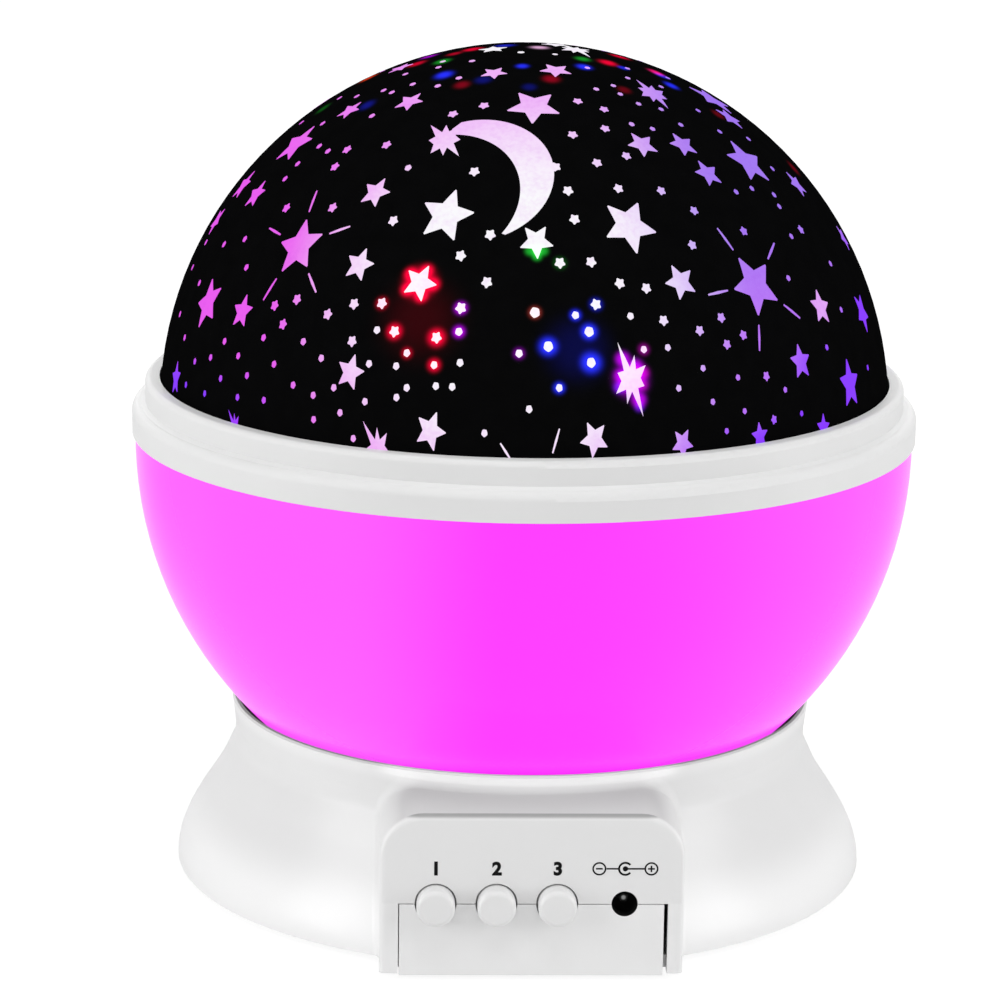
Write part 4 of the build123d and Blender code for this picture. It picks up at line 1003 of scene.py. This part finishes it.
# %% Places of small stars and dots
SMALL_STARS = [
    (6, 50.5), (-27, 40), (-7.5, 38.5), (-12.5, 35), (-7.5, 31), (-12.5, 49.5), (-24, 61.5),
    (-15, 64), (-49, 51.5), (-38, 53.5), (-48.5, 48), (-54.5, 39.5), (-42, 41), (8, 46), (19, 46),
    (8.5, 41), (5, 34), (10.5, 34), (15, 30.5), (19.5, 29.5), (34, 41), (30.5, 35.5), (28.5, 45),
    (21.5, 24.5), (10.5, 27.5), (16, 51), (24, 52), (12, 57), (22, 58), (25.5, 62.5), (18, 65),
    (43.5, 36.5), (60.5, 34.5), (27.5, 22.5), (32, 24), (35.5, 21), (32, 20), (38.5, 14.5),
    (39, 8), (-30, 26.5), (-25, 27), (-34.5, 24.5), (-41.5, 26), (-46, 24.5), (-43, 22), (-22, 23),
    (-29, 21), (-15, 22.5), (-11.5, 27),
]
SPECKS = [
    (7, 26), (16, 25.5), (17.5, 20.5), (21.5, 20.5), (22.5, 14.5), (-2, 20.5), (-0.5, 12.5),
    (4, 15.5), (-7, 9), (27, 17), (28, 12), (33, 15), (30, 7.5), (33.5, 10), (42, 12), (45, 8),
    (54, 16.5), (67, 11), (-25, 23), (-38, 20), (-19.5, 20), (-15, 18.5), (-11, 19), (-11.5, 23.5),
    (-34, 18), (-25.5, 18), (-21, 18), (-19, 15), (-14.5, 15.5), (-12, 15.5), (-20.5, 13.5),
    (-25.5, 12.5), (-31, 14), (-34.5, 12.5), (-38.5, 13.5), (-29.5, 10.5), (-34, 9), (-27, 7),
    (-70.5, 15.5), (-56, 17.5), (-46.5, 19.5), (-64, 13), (-59, 14.5), (-51.5, 16), (-43, 16),
    (-55, 12), (-48.5, 13.5), (-50, 10), (-44, 10.5), (-59, 9), (-66, 9), (-63, 65), (-57, 65),
    (-69, 70), (-53, 68), (-39.5, 68.5), (-34, 71.5), (-57, 74), (-43, 78), (-73, 62), (-84, 60),
    (-52, 59), (-70, 55), (-60, 51), (-55, 50.5), (-62, 47), (-62, 44), (-86, 53), (-28.5, 49.5),
    (-62, 33), (-69, 31), (-80, 29.5), (-57, 29), (-72, 24), (-81, 25), (-77, 18), (29, 68),
    (38.5, 68.5), (37, 66), (52, 70), (79, 67), (65, 72.5), (62, 66), (40, 63), (46.5, 61),
    (31, 58.5), (36.5, 57), (47.5, 57), (62, 59), (60, 54), (39, 75), (35, 82), (-6, 84), (67, 45),
    (70, 51), (47.5, 43), (53, 43), (59, 41), (58, 39), (56, 34), (65, 28), (62, 21), (49.5, 28),
    (-65, 76),
]
HOT_SPECKS = [(0.5, 26.5), (9, 23.5), (2.5, 21.5), (9, 19)]
print("dots placed by hand:", len(SMALL_STARS) + len(SPECKS) + len(HOT_SPECKS))

# %% [markdown]
# ## Cutting the dots
# A hot dot looks larger than a dim one, because its light blooms over the edge, so a dot's radius
# also depends on where it is: largest in front of the lamps, smaller at the right. At the back,
# rows of places are tried one by one, and each that is still free gets the largest star that fits.
# Measuring every free gap would pack them tighter, but too evenly for a print laid out by eye.

# %% Make the dots and fill the back
DOT_KINDS = [           # places, radius in mm in front of the lamps, waist
    (SMALL_STARS, 0.83, 0.7), (SPECKS, 0.57, 0.9), (HOT_SPECKS, 0.74, 0.92),
]
BLUNT = 6               # half the angle over which a dot's tip is cut flat, in degrees
BLOOM = 0.13            # how much smaller a dot is where less light comes through, in mm
BACK_ROWS = range(8, 66, 6)
BACK_COLUMNS = 22
BACK_KINDS = [(2.3, 0.5, 1.4), (0.8, 0.7, BLUNT), (0.55, 0.9, BLUNT)]     # radius, waist, blunt angle
BACK_MARGIN = 0.7
dots = bmesh.new()
for places, middle_radius, waist in DOT_KINDS:
    entries = [(azimuth, height, middle_radius - BLOOM * min(max(azimuth, azimuth / -3) / 35, 1),
                270 + 7 * number % 24 - 12)
               for number, (azimuth, height) in enumerate(places)]
    for azimuth, height, radius, turn in both_halves(entries):
        add_plug(dots, azimuth, height, star_outline(radius, waist=waist, blunt=BLUNT), turn)
for row, height in enumerate(BACK_ROWS):
    reach = 86 - height / 4         # degrees to each side of the back that the front doesn't show
    for column in range(BACK_COLUMNS):
        sway = math.sin(7.0 * row + 5.0 * column)
        azimuth = 180 + reach * (2 * (column + row % 2 / 2) / BACK_COLUMNS - 1) + 2 * sway
        for radius, waist, blunt in BACK_KINDS:
            if free_place(azimuth, height + sway, radius + BACK_MARGIN):
                outline = star_outline(radius, waist=waist, blunt=blunt)
                add_plug(dots, azimuth, height + sway, outline, 36 * sway)
                taken.append((dome_direction(azimuth, height + sway), radius))
                break
window_piece("window_dots", dots)

# %% [markdown]
# ## Panel marks
# The buttons are numbered and the power inlet carries the usual polarity sign. Such marks are
# pad-printed: a thin film of black ink. A dark shape in the base's own material would do from afar,
# but a film of real thickness stays crisp in every view.

# %% Ink
INK = 0.03 * MM
MARK_HEIGHT = 2.2 * MM
MARK_Z = 17.65 * MM
ink = moulded("black_ink", (0.004, 0.004, 0.004), 0.5).set(Specular_IOR_Level=0.08)


def printed(name, mesh):
    """A film of ink that rides on the base."""
    mesh.materials.clear()
    mesh.materials.append(ink.material)
    made = piece(name, mesh)
    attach(made, "base")
    return made


def film(bm, outline, x, z):
    """Closed film on the panel face from an outline of (right, up) points in mm."""
    for y in (PANEL_Y - INK, PANEL_Y + INK):
        verts = [bm.verts.new((x + u * MM, y, z + v * MM)) for u, v in outline]
        bm.faces.new(verts)
        if y < PANEL_Y:
            front = verts
    for i in range(len(front)):
        j = (i + 1) % len(front)
        bm.faces.new((front[i], front[j], verts[j], verts[i]))


def middle_of(node):
    """Middle of a CAD piece, as (x, z)."""
    low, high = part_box(node)
    return (low.x + high.x) / 2, (low.z + high.z) / 2


print("marks stand at z =", round(MARK_Z / MM, 2), "mm")

# %% [markdown]
# ## Numbers over the buttons
# A numeral starts as a text curve in Blender's own typeface, made a little bolder by its offset. It
# becomes a mesh, is scaled to its printed height and laid on the panel over the middle of its
# button. The three outlines could be drawn point by point, but a typeface already has well-made
# figures.

# %% Numbers over the buttons
def number_mesh(text, x):
    """A numeral from the built-in typeface, made bolder, as a film on the panel."""
    curve = bpy.data.curves.new("numeral", "FONT")
    curve.body = text
    curve.offset = 0.045
    curve.extrude = 0.5
    curve.resolution_u = 6
    holder = bpy.data.objects.new("numeral", curve)
    bpy.context.scene.collection.objects.link(holder)
    bpy.context.view_layer.update()
    mesh = bpy.data.meshes.new_from_object(holder.evaluated_get(bpy.context.evaluated_depsgraph_get()))
    bpy.data.objects.remove(holder)
    xs = [v.co.x for v in mesh.vertices]
    ys = [v.co.y for v in mesh.vertices]
    scale = MARK_HEIGHT / (max(ys) - min(ys))
    for vertex in mesh.vertices:
        u, v, w = vertex.co
        vertex.co = (x + (u - (max(xs) + min(xs)) / 2) * scale, PANEL_Y - w * 2 * INK,
                     MARK_Z + (v - (max(ys) + min(ys)) / 2) * scale)
    return mesh


for number, node in enumerate(("button_a", "button_b", "button_c"), start=1):
    printed(f"number_{number}", number_mesh(str(number), middle_of(node)[0]))
print("numbers stand over", [round(middle_of("button_" + letter)[0] / MM, 1) for letter in "abc"])

# %% [markdown]
# ## Polarity sign over the inlet
# The sign tells which way round the plug is wired: a ringed minus, an open ring round a dot for the
# sleeve and the pin, and a ringed plus, joined by two lines. All of it is straight or round, so it
# is made from bars and rings of short films. A curve with a bevel would give round wires and not
# flat ink.

# %% Polarity sign over the inlet
def ring_outline(bm, x, z, radius, width, start=0, end=360):
    """Printed ring, or part of one, as short films."""
    steps = 28
    spans = [math.radians(start + (end - start) * i / steps) for i in range(steps + 1)]
    for a, b in zip(spans, spans[1:]):
        corners = [(r * math.cos(t), r * math.sin(t)) for t, r in
                   ((a, radius), (b, radius), (b, radius - width), (a, radius - width))]
        film(bm, corners, x, z)


def bar(bm, x, z, width, height):
    """Printed bar about its middle."""
    film(bm, [(-width / 2, -height / 2), (width / 2, -height / 2),
              (width / 2, height / 2), (-width / 2, height / 2)], x, z)


LINE = 0.3              # widths in mm
THIN = LINE * 0.8
SIGN_REACH = 3.9 * MM   # from the middle of the sign to its minus and its plus
sign = bmesh.new()
socket_x = middle_of("dc_socket")[0]
for side in (-1, 1):
    ring_outline(sign, socket_x + side * SIGN_REACH, MARK_Z, 1.05, THIN)
    bar(sign, socket_x + side * SIGN_REACH, MARK_Z, 1.0, THIN)
bar(sign, socket_x + SIGN_REACH, MARK_Z, THIN, 1.0)
ring_outline(sign, socket_x, MARK_Z, 1.1, LINE, 40, 320)
ring_outline(sign, socket_x, MARK_Z, 0.4, 0.4)
bar(sign, socket_x - 1.95 * MM, MARK_Z, 1.75, THIN)
bar(sign, socket_x + 1.6 * MM, MARK_Z, 2.5, THIN)
bmesh.ops.recalc_face_normals(sign, faces=sign.faces)
sign_mesh = bpy.data.meshes.new("inlet_sign")
sign.to_mesh(sign_mesh)
sign.free()
printed("inlet_sign", sign_mesh)
print("the sign has", len(sign_mesh.polygons), "faces")

# %% [markdown]
# ## Metal and rubber
# The small works inside are seen when the dome is lifted or the battery door is off. Screws are
# zinc plated, contacts nickel plated, the motor can is drawn steel, the feet are rubber. Brushed
# metal would call for stretched noise, but these are tumbled or plated, so an even fine noise
# breaks their gloss.

# %% Metals
def metal(name, colour, gloss, mark=0.25 * MM):
    """Plated or drawn metal with fine marks."""
    made = Finish(name)
    marks = made.noise(mark, 4.0, 0.65)
    made.set(Base_Color=marks.mix(toned(colour, 0.86), colour), Metallic=1.0,
             Roughness=gloss + 0.16 * marks, Normal=made.bump(marks, 0.008 * MM))
    return made


PIN_MIDDLE_GREY, PIN_PAINTED_SHADE = (0.42, 0.42, 0.42), (0.015, 0.015, 0.015)


def pin_metal():
    """Pin painted dark as shade deep in the bore, with a small grey middle on its end."""
    made = metal("pin_metal", (0.5, 0.5, 0.5), 0.4)
    pin_x, pin_z = middle_of("dc_pin")
    reach = ((made.axis(0) - pin_x) ** 2.0 + (made.axis(2) - pin_z) ** 2.0) ** 0.5
    grain = made.noise(0.1 * MM)
    tone = (reach + grain * 0.1 * MM).step(0.25 * MM, 0.5 * MM)
    return made.set(Base_Color=tone.mix(PIN_MIDDLE_GREY, PIN_PAINTED_SHADE))


wear(metal("zinc_steel", (0.62, 0.62, 0.64), 0.22), "base_screws", "motor_screws", "post_screws",
     "lamp_screws", "gear_screws", "door_screw", "post_clip", "motor_shaft")
wear(metal("nickel_plate", (0.78, 0.76, 0.72), 0.14), "battery_end_plates", "battery_leaf_contacts")
wear(pin_metal(), "dc_pin")
wear(metal("motor_steel", (0.56, 0.56, 0.57), 0.3, 0.8 * MM), "motor")
wear(moulded("foot_rubber", (0.10, 0.10, 0.10), 0.7, 0.02 * MM, 0.8), "rubber_feet")
print("metals:", [m.name for m in bpy.data.materials if "steel" in m.name or "metal" in m.name])

# %% [markdown]
# ## Circuit boards
# A board is green from its solder mask, which lies over the copper tracks and shows them as a faint
# relief. Bricks with thin gaps between them look like runs of track from a step away and cost one
# node. Real routed tracks would be a drawing of their own, on boards that are hardly seen.

# %% Circuit boards
TRACKS_PER_METRE = 160.0


def board():
    """Green solder mask over copper: faint raised tracks and pale edges."""
    made = Finish("board_green")
    tracks = made.node("ShaderNodeTexBrick", {"offset": 0.4, "squash": 1.6},
                       {"Vector": made.place, "Scale": TRACKS_PER_METRE, "Mortar Size": 0.018,
                        "Color1": (0, 0, 0, 1), "Color2": (0, 0, 0, 1), "Mortar": (1, 1, 1, 1)}, 1)
    grain = made.noise(0.5 * MM)
    made.set(Base_Color=(tracks * 0.7 + grain * 0.2).mix((0.012, 0.11, 0.035), (0.05, 0.26, 0.09)),
             Roughness=0.28 + 0.12 * grain, Normal=made.bump(tracks, 0.02 * MM))
    return made


wear(board(), "control_board", "lamp_board")
print("boards finished:", [n for n in nodes if n.endswith("board")])

# %% [markdown]
# ## Battery cells and lamps
# A cell is a steel can in a printed plastic sleeve with a band of a second colour, bare at its
# raised end. A lamp is a small body of clear resin, tinted in its own colour and lit. The sleeves
# could be pieces of their own, but they are thinner than a hair, so bands along the cell's length
# are enough.

# %% Battery cells and lamps
SLEEVE_END = 21.7 * MM  # from the middle of a cell to the end of its sleeve
BAND_START = 13.0 * MM


def cell_sleeve():
    """Steel can in a plain two-colour sleeve, bare at its raised end."""
    made = Finish("cell_sleeve")
    end = made.axis(0).size().step(SLEEVE_END, SLEEVE_END + 0.2 * MM)
    band = made.axis(0).size().step(BAND_START, BAND_START + 0.2 * MM)
    scuff = made.noise(0.6 * MM)
    colour = band.mix((0.02, 0.05, 0.16), (0.55, 0.26, 0.05))
    made.set(Base_Color=end.mix(scuff.mix(colour, (0.5, 0.5, 0.5), "OVERLAY"), (0.6, 0.6, 0.6)),
             Metallic=0.4 + 0.6 * end, Roughness=0.3 + 0.1 * scuff)
    return made


def lamp_body(name, colour):
    """Tinted clear lamp that glows, with a cloudy haze."""
    made = Finish(name)
    haze = made.noise(1.2 * MM)
    made.set(Base_Color=haze.mix(toned(colour, 0.7), colour),
             Emission_Color=haze.mix(toned(colour, 0.5), colour), Emission_Strength=0.8,
             Roughness=0.12 + 0.1 * haze)
    return made


wear(cell_sleeve(), "battery_cells")
LAMP_COLOURS = {"red": (1.0, 0.06, 0.04), "green": (0.08, 0.9, 0.15), "blue": (0.07, 0.14, 1.0),
                "white": (1.0, 0.98, 0.92)}
for colour_name, colour in LAMP_COLOURS.items():
    wear(lamp_body("lamp_" + colour_name, colour), "led_" + colour_name)
print("materials in all:", len(bpy.data.materials))
